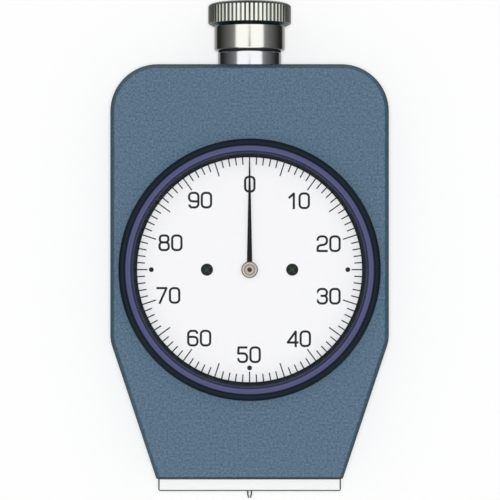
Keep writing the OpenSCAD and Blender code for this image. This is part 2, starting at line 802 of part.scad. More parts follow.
module stem_nut() {
    color("#a9adb0")
    on_axis() difference() {
        translate([0, 0, cavity_top - nut_h]) rotate([0, 0, 30]) cylinder(r = thread_r + nut_w, h = nut_h, $fn = 6);
        hole(thread_r, cavity_top - nut_h, cavity_top);
    }
}

module lower_bush() {
    color("#b98b4a") on_axis() ring(bush_r, bush_in_r, -case_low, -case_low + boss_len);
}

module upper_bush() {
    color("#b98b4a") on_axis() ring(stem_bore_r, bush_in_r, stem_low, stem_low + bush_len);
}

module spring_adjuster() {
    color("#c2a05c")
    on_axis() difference() {
        ring(stem_bore_r, rod_d / 2 + fit, spring_high, plug_top);
        translate([-stem_bore_r - over, -plug_slot / 2, plug_top - plug_slot])
            cube([2 * (stem_bore_r + over), plug_slot, plug_slot + over]);
    }
}

module main_spring() {
    color("#8d9296") on_axis() polyhedron(coil_points, coil_faces, convexity = 12);
}

module main_plate() {
    color("#c9a75a")
    difference() {
        hull() spots(post_spots) translate([0, 0, main_z]) cylinder(r = lug_r, h = plate_t, $fn = 48);
        spots(post_spots) hole(plate_screw_d / 2 + screw_gap, main_z, main_front);
        spots(pillar_spots) hole(tenon_d / 2, main_z, main_front);
        spots(guide_screw_spots) hole(small_screw_d / 2 + screw_gap, main_z, main_front);
        spots(bridge_tenons) hole(bridge_tenon_d / 2, main_z, main_front);
        hole(pivot_r + fit, main_z, main_front);
        at_takeup_arbor() hole(pivot_r + fit, main_z, main_front);
        at_first_arbor() hole(arbor_r + layer_gap, main_z, main_front);
    }
}

module plate_screws() {
    color("#9a9ea2")
    spots(post_spots) translate([0, 0, main_z]) rotate([180, 0, 20])
        round_screw(plate_head_d, plate_head_h, plate_screw_d, plate_t + plate_grip, plate_slot);
}

module front_plate() {
    color("#c9a75a")
    difference() {
        bar(front_plate_r, front_z, front_front);
        hole(centre_r + fit, front_z, front_front);
        at_takeup_arbor() hole(pivot_r + fit, front_z, front_front);
        at_first_arbor() hole(pivot_r + fit, front_z, front_front);
        spots(pillar_spots) hole(small_screw_d / 2 + screw_gap, front_z, front_front);
        at_dial_screws() hole(tenon_d / 2, front_z, front_front);
        at_stud() hole(stud_w / 2, front_z, front_front);
    }
}

module movement_pillars() {
    color("#bfa05a")
    spots(pillar_spots) difference() {
        union() {
            bar(pillar_d / 2, main_front, front_z);
            bar(tenon_d / 2, main_z, main_front + lap);
        }
        bar(small_screw_d / 2, front_z - pillar_grip - tap_over, front_z + over);
    }
}

module pillar_screws() {
    color("#9a9ea2")
    spots(pillar_spots) translate([0, 0, front_front]) rotate([0, 0, 65])
        round_screw(small_head_d, small_head_h, small_screw_d, plate_t + pillar_grip, small_slot);
}

module pinion_bridge() {
    color("#c9a75a")
    difference() {
        union() {
            translate([bridge_x, arbor_y - bridge_w / 2, bridge_z])
                cube([bridge_reach + bridge_over, bridge_w, bridge_t]);
            translate([bridge_x, arbor_y - bridge_w / 2, bridge_z]) cube([bridge_leg, bridge_w, main_z - bridge_z]);
            spots(bridge_tenons) bar(bridge_tenon_d / 2, main_z - lap, main_front);
        }
        at_first_arbor() hole(pivot_r + fit, bridge_z, bridge_z + bridge_t);
    }
}

module guide_block() {
    slot = guide_pin_d + 2 * fit;
    color("#b7bbbe")
    difference() {
        translate([guide_in, guide_low, guide_back]) cube([guide_w, guide_high - guide_low, main_z - guide_back]);
        translate([guide_in - over, guide_low - over, spindle_z - slot / 2])
            cube([guide_w - guide_wall + over, guide_high - guide_low + 2 * over, slot]);
        spots(guide_screw_spots) bar(small_screw_d / 2, main_z - guide_grip - lap, main_z + over);
    }
}

module guide_screws() {
    color("#9a9ea2")
    spots(guide_screw_spots) translate([0, 0, main_front]) rotate([0, 0, 15])
        round_screw(small_head_d, small_head_h, small_screw_d, plate_t + guide_grip, small_slot);
}

module hairspring() {
    color("#4c6a9c")
    at_strip() for (k = [0 : half_turns - 1])
        translate([(k % 2) * strip_step, 0, coil_z]) rotate([0, 0, (k % 2) * 180]) rotate_extrude(angle = 180)
            translate([strip_r(k) - strip_w / 2, 0]) square([strip_w, strip_h]);
}

module hairspring_stud() {
    color("#c9a75a")
    at_stud() {
        translate([-stud_w / 2, -stud_len / 2, coil_z - stud_over]) cube([stud_w, stud_len, front_z - coil_z + stud_over]);
        bar(stud_w / 2, front_z - lap, front_front);
    }
}

module spindle() {
    color("#aeb3b6")
    difference() {
        on_axis() rotate_extrude() polygon([
            [0, spindle_low], [spindle_d / 2 - spindle_edge, spindle_low], [spindle_d / 2, spindle_low + spindle_edge],
            [spindle_d / 2, seat_low], [seat_r, seat_low], [seat_r, spring_low], [rod_d / 2, spring_low],
            [rod_d / 2, rod_top - spindle_edge], [rod_d / 2 - spindle_edge, rod_top], [0, rod_top]]);
        on_axis() bar(indenter_d / 2, spindle_low - over, spindle_low + indenter_grip);
        translate([0, 0, spindle_z - spindle_d]) linear_extrude(2 * spindle_d) polygon(rack_cut);
        translate([-guide_pin_in, guide_y, spindle_z]) rotate([0, 90, 0]) bar(guide_pin_d / 2, 0, spindle_d);
    }
}

module indenter() {
    color("#d3d6d8")
    on_axis() rotate_extrude($fn = 64) polygon([
        [0, tip_y], [indenter_tip_d / 2, tip_y], [indenter_d / 2, tip_y + cone_len],
        [indenter_d / 2, spindle_low + indenter_grip], [0, spindle_low + indenter_grip]]);
}

module guide_pin() {
    color("#85898c")
    translate([0, guide_y, spindle_z]) rotate([0, 90, 0]) bar(guide_pin_d / 2, -guide_pin_in, guide_pin_end);
}

module rack_arbor() {
    color("#a3a8ac")
    at_first_arbor() union() {
        bar(pivot_r, bridge_z + end_play, front_front - end_play);
        bar(arbor_r, bridge_z + bridge_t + end_play, front_z - end_play);
        bar(arbor_r + flange_w, wheel_z - flange_t, wheel_z);
        translate([0, 0, spindle_z - rack_pinion_len / 2]) linear_extrude(rack_pinion_len)
            polygon(gear_points(rack_teeth, rack_module));
    }
}

// Toothed wheel with five round windows, sized as shares of its pitch radius
module wheel(teeth, z) {
    pitch_r = teeth * wheel_module / 2;
    difference() {
        translate([0, 0, z]) linear_extrude(wheel_t) polygon(gear_points(teeth, wheel_module));
        hole(arbor_r, z, z + wheel_t);
        for (a = [0 : 72 : 288]) rotate([0, 0, a]) translate([pitch_r * 0.56, 0, 0])
            hole(pitch_r * 0.25, z, z + wheel_t);
    }
}

module rack_wheel() {
    color("#d1ae5e") at_first_arbor() rotate([0, 0, mesh_angle]) wheel(wheel_teeth, wheel_z);
}

module pointer_arbor() {
    pinion_low = wheel_z - pinion_over;
    color("#a3a8ac")
    union() {
        bar(pivot_r, main_z + end_play, hub_high - end_play);
        bar(centre_r, main_front + end_play, hub_low);
        translate([0, 0, pinion_low]) rotate([0, 0, centre_phase])
            linear_extrude(takeup_z + wheel_t + pinion_over - pinion_low)
            polygon(gear_points(centre_teeth, wheel_module));
    }
}

module pointer() {
    color("#16191b")
    translate([0, 0, needle_z]) linear_extrude(pointer_t) difference() {
        union() {
            circle(r = hub_d / 2 - hub_edge);
            polygon([
                [-pointer_root_w / 2, 0], [pointer_root_w / 2, 0],
                [pointer_tip_w / 2, pointer_r - pointer_point], [0, pointer_r],
                [-pointer_tip_w / 2, pointer_r - pointer_point]]);
        }
        circle(r = hub_neck_d / 2);
    }
}

module pointer_hub() {
    neck_r = hub_neck_d / 2;
    groove_z = hub_high - hub_groove_h;
    color("#d8cfc0")
    rotate_extrude() polygon([
        [pivot_r, hub_low], [neck_r, hub_low], [neck_r, hub_disc], [hub_d / 2, hub_disc],
        [hub_d / 2, hub_high - hub_edge], [hub_d / 2 - hub_edge, hub_high], [neck_r, hub_high],
        [neck_r, groove_z], [neck_r - hub_groove_w, groove_z], [neck_r - hub_groove_w, hub_high],
        [pivot_r + hub_edge, hub_high], [pivot_r, hub_high - hub_edge]]);
}

module takeup_arbor() {
    color("#a3a8ac")
    at_takeup_arbor() union() {
        bar(pivot_r, main_z + end_play, front_front - end_play);
        bar(arbor_r, main_front + end_play, front_z - end_play);
        bar(arbor_r + flange_w, takeup_z - flange_t, takeup_z);
    }
}

module takeup_wheel() {
    color("#d1ae5e") at_takeup_arbor() rotate([0, 0, takeup_phase]) wheel(takeup_teeth, takeup_z);
}

module hairspring_collet() {
    color("#c9a75a")
    at_takeup_arbor() ring(collet_d / 2, arbor_r, takeup_z + wheel_t, coil_z + strip_h + collet_over);
}

module knob_washer() {
    color("#1b1d1f") on_axis() ring(neck_d / 2 - washer_inset, cap_thread_r + knob_fit, neck_top, knob_low);
}

module knob() {
    bore_r = cap_thread_r + knob_fit;
    color("#c4c8ca")
    on_axis() difference() {
        rotate_extrude() polygon([
            [0, knob_top], [collar_d / 2 - collar_edge, knob_top], [collar_d / 2, knob_top - collar_edge],
            [collar_d / 2, collar_low + collar_slope], [sleeve_d / 2, collar_low],
            [sleeve_d / 2, knob_low + sleeve_edge], [sleeve_d / 2 - sleeve_edge, knob_low],
            [bore_r, knob_low], [bore_r, knob_top - knob_roof], [0, knob_top - knob_roof]]);
        for (k = [0 : flutes - 1]) rotate([0, 0, k * 360 / flutes]) translate([collar_d / 2 + flute_out, 0, 0])
            bar(flute_depth + flute_out, collar_low - over, knob_top + over, $fn = 24);
    }
}

case_shell();
back_cover();
cover_screws();
pressure_foot();
foot_screws();
bezel();
crystal_gasket();
crystal();
dial_plate();
dial_screws();
dial_posts();
stem();
stem_nut();
lower_bush();
upper_bush();
spring_adjuster();
main_spring();
main_plate();
plate_screws();
front_plate();
movement_pillars();
pillar_screws();
pinion_bridge();
guide_block();
guide_screws();
hairspring();
hairspring_stud();
spindle();
indenter();
guide_pin();
rack_arbor();
rack_wheel();
pointer_arbor();
pointer();
pointer_hub();
takeup_arbor();
takeup_wheel();
hairspring_collet();
knob_washer();
knob();
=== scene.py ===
"""Looks of the dial durometer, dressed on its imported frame.

Sizes are written in millimetres, as on a workshop drawing, and become metres where a mesh is made.
"""

from __future__ import annotations

import logging
import math
from contextlib import contextmanager
from dataclasses import dataclass, replace
from enum import Enum
from typing import Callable, Iterable, Iterator, Sequence

import bmesh
import bpy
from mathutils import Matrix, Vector

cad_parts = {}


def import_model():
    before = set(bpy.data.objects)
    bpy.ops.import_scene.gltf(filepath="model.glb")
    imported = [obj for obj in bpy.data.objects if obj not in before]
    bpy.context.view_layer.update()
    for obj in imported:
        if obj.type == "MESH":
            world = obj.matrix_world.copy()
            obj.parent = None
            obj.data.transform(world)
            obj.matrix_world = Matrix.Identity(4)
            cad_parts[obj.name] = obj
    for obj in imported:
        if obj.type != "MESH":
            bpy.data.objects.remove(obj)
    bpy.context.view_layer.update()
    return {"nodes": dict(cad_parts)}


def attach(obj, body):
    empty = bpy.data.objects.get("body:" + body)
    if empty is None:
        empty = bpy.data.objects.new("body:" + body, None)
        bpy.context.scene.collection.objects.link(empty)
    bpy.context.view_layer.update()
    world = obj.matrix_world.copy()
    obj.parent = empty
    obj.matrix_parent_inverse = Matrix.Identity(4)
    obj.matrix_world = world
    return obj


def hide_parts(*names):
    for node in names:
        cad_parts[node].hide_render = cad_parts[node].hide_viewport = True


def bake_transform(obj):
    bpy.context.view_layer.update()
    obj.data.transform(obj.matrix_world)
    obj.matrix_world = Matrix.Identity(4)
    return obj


LOG = logging.getLogger("durometer")

MM = 0.001
SPINDLE_Z = 12.0
SMOOTH_ANGLE = math.radians(32)
FULL_TURN = 2 * math.pi
WHITE = (1.0, 1.0, 1.0, 1.0)
# Distance in metres within which corners are merged
MERGE = 1e-6
# Distance within which a corner counts as lying on a line or a face
NEAR = 0.02
# How far a cutter reaches past the face that it cuts, and a joined rod into the wall that it joins
OVERCUT = 1.0
# Steps of the full turn in rods and in turned pieces of three sizes
ROD_STEPS = 72
SMALL_STEPS = 64
MIDDLE_STEPS = 96
LARGE_STEPS = 128

Object = bpy.types.Object
Material = bpy.types.Material
Face = bpy.types.MeshPolygon
Tree = bpy.types.NodeTree
Node = bpy.types.Node
Socket = bpy.types.NodeSocket
Point = tuple[float, float]
Shade = tuple[float, float, float]
Colour = tuple[float, float, float, float]
Profile = Sequence[Point]
Rings = Sequence[tuple[float, Shade]]
EdgeTest = Callable[[Vector, Vector], bool]
Feeds = dict[str | int, object]


def linear(shade: Shade) -> Colour:
    """Turns a colour written as 0 to 255 into scene values.

    Args:
        shade: Red, green and blue.

    Returns:
        The colour with full alpha.
    """
    shares = [c / 255 for c in shade]
    values = [c / 12.92 if c <= 0.04045 else ((c + 0.055) / 1.055) ** 2.4 for c in shares]
    return (values[0], values[1], values[2], 1.0)


class Along(Enum):
    """Direction of a turned piece's axis."""

    DIAL = (0.0, 0.0, 1.0)
    SPINDLE = (0.0, 1.0, 0.0)


@dataclass(frozen=True)
class Centre:
    """Axis that a piece is turned about."""

    x: float
    y: float
    z: float
    along: Along

    def moved(self, x: float, y: float = 0.0) -> Centre:
        """Gives the same axis at another place."""
        return replace(self, x=self.x + x, y=self.y + y)

    def place(self, radius: float, height: float) -> Vector:
        """Gives the point at a radius and a height, in metres."""
        axis = Vector(self.along.value)
        return (Vector((self.x + radius, self.y, self.z)) + axis * height) * MM

    def origin(self) -> Vector:
        """Gives the axis's own origin, in metres."""
        return Vector((self.x, self.y, self.z)) * MM


DIAL_AXIS = Centre(0.0, 0.0, 0.0, Along.DIAL)
SPINDLE_AXIS = Centre(0.0, 0.0, SPINDLE_Z, Along.SPINDLE)


def washer_profile(inner: float, outer: float, low: float, high: float, edge: float) -> Profile:
    """Gives the section of a disc or washer whose outer edges are broken.

    Args:
        inner: Radius of the hole, or 0 for a disc.
        outer: Radius of the outside.
        low: Height of the lower face.
        high: Height of the upper face.
        edge: Width of the broken edges.

    Returns:
        Radius and height of each corner.
    """
    lower = [(inner, low), (outer - edge, low), (outer, low + edge)]
    return [*lower, (outer, high - edge), (outer - edge, high), (inner, high)]


def level_edge(height: float) -> EdgeTest:
    """Gives a test for the edges that lie at one height."""
    return lambda start, end: max(abs(start.z - height), abs(end.z - height)) < NEAR


def upright_edge(x: float, y: float) -> EdgeTest:
    """Gives a test for the two upright edges at plus and minus x.

    Args:
        x: Their distance from the middle.
        y: Their place along the case.

    Returns:
        The test.
    """

    def test(start: Vector, end: Vector) -> bool:
        """Says whether both ends lie on one of the two upright lines."""
        near = all(abs(abs(p.x) - x) < NEAR and abs(p.y - y) < NEAR for p in (start, end))
        return near and start.x * end.x > 0

    return test


class Bench:
    """Modelling by hand: each method is one or a few of Blender's own operators."""

    @staticmethod
    def clear() -> None:
        """Leaves nothing selected."""
        bpy.ops.object.select_all(action="DESELECT")

    @staticmethod
    def take(obj: Object) -> None:
        """Makes one object the only selected and active one.

        Args:
            obj: The object.
        """
        Bench.clear()
        obj.select_set(True)
        bpy.context.view_layer.objects.active = obj

    @staticmethod
    def apply() -> None:
        """Puts the place, turn and scale of what is selected into its mesh."""
        bpy.ops.object.transform_apply(location=True, rotation=True, scale=True)

    @staticmethod
    @contextmanager
    def editing(obj: Object, kind: str = "VERT") -> Iterator[None]:
        """Takes a piece into edit mode with nothing selected, and out of it again.

        Args:
            obj: Piece to work on.
            kind: What is selected there: VERT, EDGE or FACE.

        Yields:
            Nothing, while the work is done.
        """
        Bench.take(obj)
        bpy.ops.object.mode_set(mode="EDIT")
        bpy.ops.mesh.select_mode(type=kind)
        bpy.ops.mesh.select_all(action="DESELECT")
        yield
        bpy.ops.object.mode_set(mode="OBJECT")

    @staticmethod
    def pick(obj: Object, parts: str, test: Callable[..., bool]) -> None:
        """Selects the parts of a mesh that pass a test, in edit mode.

        Args:
            obj: Piece to work on.
            parts: Which parts: verts, edges or faces.
            test: Says whether a part is selected.
        """
        bpy.ops.mesh.select_all(action="DESELECT")
        shape = bmesh.from_edit_mesh(obj.data)
        for part in getattr(shape, parts):
            part.select = test(part)
        shape.select_flush_mode()
        bmesh.update_edit_mesh(obj.data)

    @staticmethod
    def settle(name: str) -> Object:
        """Names the object just added and puts its place into its mesh.

        Args:
            name: Name of the object.

        Returns:
            The object.
        """
        obj = bpy.context.object
        obj.name = name
        obj.data.name = name
        Bench.apply()
        return obj

    @staticmethod
    def block(name: str, low: Iterable[float], high: Iterable[float]) -> Object:
        """Adds a box between two corners.

        Args:
            name: Name of the object.
            low: Lowest corner in millimetres.
            high: Highest corner in millimetres.

        Returns:
            The box.
        """
        Bench.clear()
        spans = list(zip(low, high))
        middle = [(a + b) / 2 * MM for a, b in spans]
        bpy.ops.mesh.primitive_cube_add(size=1, location=middle, scale=[(b - a) * MM for a, b in spans])
        return Bench.settle(name)

    @staticmethod
    def rod(
        name: str, centre: Centre, radius: float, low: float, high: float, tip: float | None = None
    ) -> Object:
        """Adds a round bar, or a cone where its two ends differ.

        Args:
            name: Name of the object.
            centre: Axis of the bar.
            radius: Radius at the low end.
            low: Height of the low end on the axis.
            high: Height of the high end on the axis.
            tip: Radius at the high end, if it isn't the same.

        Returns:
            The bar.
        """
        Bench.clear()
        bpy.ops.mesh.primitive_cone_add(
            vertices=ROD_STEPS,
            radius1=radius * MM,
            radius2=(radius if tip is None else tip) * MM,
            depth=(high - low) * MM,
            location=centre.place(0.0, (low + high) / 2),
            rotation=(0.0 if centre.along is Along.DIAL else -math.pi / 2, 0.0, 0.0),
        )
        return Bench.settle(name)

    @staticmethod
    def turned(name: str, centre: Centre, profile: Profile, steps: int) -> Object:
        """Turns a profile about an axis, as on a lathe.

        Args:
            name: Name of the object.
            centre: Axis of the piece.
            profile: Radius and height of each corner, in order. Off the axis, the last one joins the first.
            steps: Number of steps in the full turn.

        Returns:
            The turned piece, with its normals outward.
        """
        Bench.clear()
        corners = [centre.place(radius, height) for radius, height in profile]
        ends = (corners[0], corners[-1])
        bpy.ops.mesh.primitive_plane_add(size=MM, location=corners[0])
        obj = Bench.settle(name)
        with Bench.editing(obj):
            bpy.ops.mesh.select_all(action="SELECT")
            bpy.ops.mesh.merge(type="CENTER")
            for before, after in zip(corners, corners[1:]):
                bpy.ops.mesh.extrude_vertices_move(TRANSFORM_OT_translate={"value": after - before})
            if profile[0][0] > 0:
                Bench.pick(obj, "verts", lambda vert: min((vert.co - end).length for end in ends) < MERGE)
                bpy.ops.mesh.edge_face_add()
            bpy.ops.mesh.select_all(action="SELECT")
            bpy.ops.mesh.spin(steps=steps, angle=FULL_TURN, center=centre.origin(), axis=centre.along.value)
            bpy.ops.mesh.select_all(action="SELECT")
            bpy.ops.mesh.remove_doubles(threshold=MERGE)
            bpy.ops.mesh.normals_make_consistent(inside=False)
        return obj

    @staticmethod
    def round_edges(obj: Object, test: EdgeTest, width: float, segments: int) -> None:
        """Bevels the edges that pass a test.

        Args:
            obj: Piece to work on.
            test: Says whether the edge between two points is bevelled; the points are in millimetres.
            width: Distance from the old edge to each new one.
            segments: Number of strips in the bevel.
        """
        with Bench.editing(obj, "EDGE"):
            Bench.pick(obj, "edges", lambda edge: test(*(vert.co / MM for vert in edge.verts)))
            bpy.ops.mesh.bevel(offset=width * MM, offset_type="OFFSET", segments=segments, affect="EDGES")

    @staticmethod
    def shear_off(obj: Object, point: Sequence[float], normal: Sequence[float]) -> None:
        """Cuts away what lies in front of a plane and fills the cut.

        Args:
            obj: Piece to work on.
            point: A point of the plane, in millimetres.
            normal: Direction in which the piece is cut away.
        """
        with Bench.editing(obj):
            bpy.ops.mesh.select_all(action="SELECT")
            bpy.ops.mesh.bisect(
                plane_co=Vector(point) * MM,
                plane_no=normal,
                use_fill=True,
                clear_outer=True,
                clear_inner=False,
            )

    @staticmethod
    def carve(obj: Object, tools: Iterable[Object], operation: str = "DIFFERENCE") -> Object:
        """Cuts other shapes out of a piece, or joins them to it, and removes them.

        Args:
            obj: Piece to work on.
            tools: Shapes that cut or join.
            operation: DIFFERENCE or UNION.

        Returns:
            The piece.
        """
        for tool in tools:
            modifier = obj.modifiers.new("carve", "BOOLEAN")
            modifier.operation = operation
            modifier.object = tool
            modifier.solver = "EXACT"
            Bench.take(obj)
            bpy.ops.object.modifier_apply(modifier=modifier.name)
            bpy.data.objects.remove(tool)
        return obj

    @staticmethod
    def turn(obj: Object, axis: Centre, angle: float) -> Object:
        """Turns a piece about an axis and puts the turn into its mesh.

        Args:
            obj: Piece to turn.
            axis: Axis to turn about.
            angle: Angle in radians, anticlockwise seen from the axis's end.

        Returns:
            The piece.
        """
        Bench.take(obj)
        way = "Z" if axis.along is Along.DIAL else "Y"
        bpy.ops.transform.rotate(value=-angle, orient_axis=way, center_override=axis.origin())
        Bench.apply()
        return obj

    @staticmethod
    def join(obj: Object, others: Iterable[Object]) -> Object:
        """Joins other pieces to one.

        Args:
            obj: Piece that stays.
            others: Pieces that become part of it.

        Returns:
            The joined piece.
        """
        Bench.take(obj)
        for other in others:
            other.select_set(True)
        bpy.ops.object.join()
        Bench.apply()
        return obj

    @staticmethod
    def copy_to(obj: Object, shifts: Iterable[Sequence[float]]) -> Object:
        """Copies a piece to other places and joins the copies to it.

        Args:
            obj: Piece to copy.
            shifts: Shift of each copy in millimetres.

        Returns:
            The joined piece.
        """
        copies = []
        for shift in shifts:
            Bench.take(obj)
            bpy.ops.object.duplicate()
            bpy.ops.transform.translate(value=Vector(shift) * MM)
            copies.append(bpy.context.object)
        return Bench.join(obj, copies)

    @staticmethod
    def wire(name: str, runs: Iterable[tuple[Sequence[Vector], bool]], thickness: float) -> Object:
        """Bends a round wire along one or more runs.

        Args:
            name: Name of the object.
            runs: Points of each run in millimetres, and whether it closes on itself.
            thickness: Diameter of the wire.

        Returns:
            The wire as a mesh.
        """
        curve = bpy.data.curves.new(name, "CURVE")
        curve.dimensions = "3D"
        curve.bevel_depth = thickness / 2 * MM
        curve.bevel_resolution = 3
        curve.use_fill_caps = True
        for points, closed in runs:
            spline = curve.splines.new("POLY")
            spline.points.add(len(points) - 1)
            spline.use_cyclic_u = closed
            for knot, point in zip(spline.points, points):
                knot.co = (point * MM).to_4d()
        obj = bpy.data.objects.new(name, curve)
        bpy.context.scene.collection.objects.link(obj)
        Bench.take(obj)
        bpy.ops.object.convert(target="MESH")
        return bpy.context.object

    @staticmethod
    def smooth(obj: Object) -> None:
        """Shades a piece smooth, apart from its sharp edges, and keeps its broad faces flat.

        Args:
            obj: The piece.
        """
        Bench.take(obj)
        bpy.ops.object.shade_smooth_by_angle(angle=SMOOTH_ANGLE)
        modifier = obj.modifiers.new("even", "WEIGHTED_NORMAL")
        modifier.keep_sharp = True
        bpy.ops.object.modifier_apply(modifier=modifier.name)


@dataclass(frozen=True)
class Nodes:
    """Adds nodes to one tree and joins them."""

    tree: Tree

    def feed(self, node: Node, feeds: Feeds) -> None:
        """Links or sets inputs of a node.

        Args:
            node: The node.
            feeds: Socket or plain value for each input, by its name or number.
        """
        for key, value in feeds.items():
            if isinstance(value, Socket):
                self.tree.links.new(value, node.inputs[key])
            else:
                node.inputs[key].default_value = value

    def add(self, kind: str, feeds: Feeds | None = None, **settings: object) -> Node:
        """Adds a node.

        Args:
            kind: Kind of node.
            feeds: Socket or plain value for each input, by its name or number.
            settings: Other settings of the node.

        Returns:
            The node.
        """
        node = self.tree.nodes.new("ShaderNode" + kind)
        for name, value in settings.items():
            setattr(node, name, value)
        self.feed(node, feeds or {})
        return node

    def math(self, operation: str, *values: Socket | float) -> Socket:
        """Works out a value from others."""
        return self.add("Math", dict(enumerate(values)), operation=operation).outputs[0]

    def span(self, value: Socket, source: Point, target: Point = (0.0, 1.0)) -> Socket:
        """Brings a value from one range to another."""
        ends = {"From Min": source[0], "From Max": source[1], "To Min": target[0], "To Max": target[1]}
        return self.add("MapRange", {"Value": value, **ends}).outputs["Result"]

    def blend(self, share: Socket | float, first: object, second: object, kind: str = "MIX") -> Socket:
        """Mixes two colours by a share."""
        feeds = {0: share, 6: first, 7: second}
        return self.add("Mix", feeds, data_type="RGBA", blend_type=kind).outputs[2]

    def ramp(self, share: Socket, stops: Sequence[tuple[float, Colour]]) -> Socket:
        """Gives a colour by a share.

        Args:
            share: The share, from 0 to 1.
            stops: Share and colour of each stop, in order.

        Returns:
            The colour.
        """
        node = self.add("ValToRGB", {"Fac": share})
        elements = node.color_ramp.elements
        while len(elements) < len(stops):
            elements.new(0.5)
        for element, (position, colour) in zip(elements, stops):
            element.position = position
            element.color = colour
        return node.outputs["Color"]

    def place(self, kind: str = "Object") -> Socket:
        """Gives the place on the object, or another of the texture coordinates."""
        return self.add("TexCoord").outputs[kind]

    def polar(self, axis: Centre) -> tuple[Socket, Socket]:
        """Gives the place on the object about an axis.

        Args:
            axis: The axis.

        Returns:
            The distance from the axis and the height along it.
        """
        x, across, along = self.add("SeparateXYZ", {0: self.place()}).outputs
        if axis.along is Along.SPINDLE:
            across, along = self.math("SUBTRACT", along, axis.z * MM), across
        squares = [self.math("MULTIPLY", value, value) for value in (x, across)]
        return self.math("SQRT", self.math("ADD", *squares)), along

    def let_through(self, shader: Node, share: Socket) -> None:
        """Makes a material's shader clear by a share.

        Args:
            shader: The shader.
            share: Where it is clear.
        """
        clear = self.add("BsdfTransparent")
        mix = self.add("MixShader", {0: share, 1: shader.outputs[0], 2: clear.outputs[0]})
        self.feed(self.tree.nodes["Material Output"], {"Surface": mix.outputs[0]})


class Pattern(Enum):
    """Surface detail that a finish has."""

    GRAIN = "grain"
    TURNED_DIAL = "rings about the dial"
    TURNED_SPINDLE = "rings about the spindle"
    BRUSHED = "lines along the width"


@dataclass(frozen=True)
class Finish:
    """One surface finish."""

    name: str
    tone: Shade
    fleck: Shade
    rough: Point
    pattern: Pattern = Pattern.GRAIN
    grain: float = 0.5
    bump: float = 0.1
    depth: float = 0.01
    metallic: float = 0.0
    specular: float = 0.5


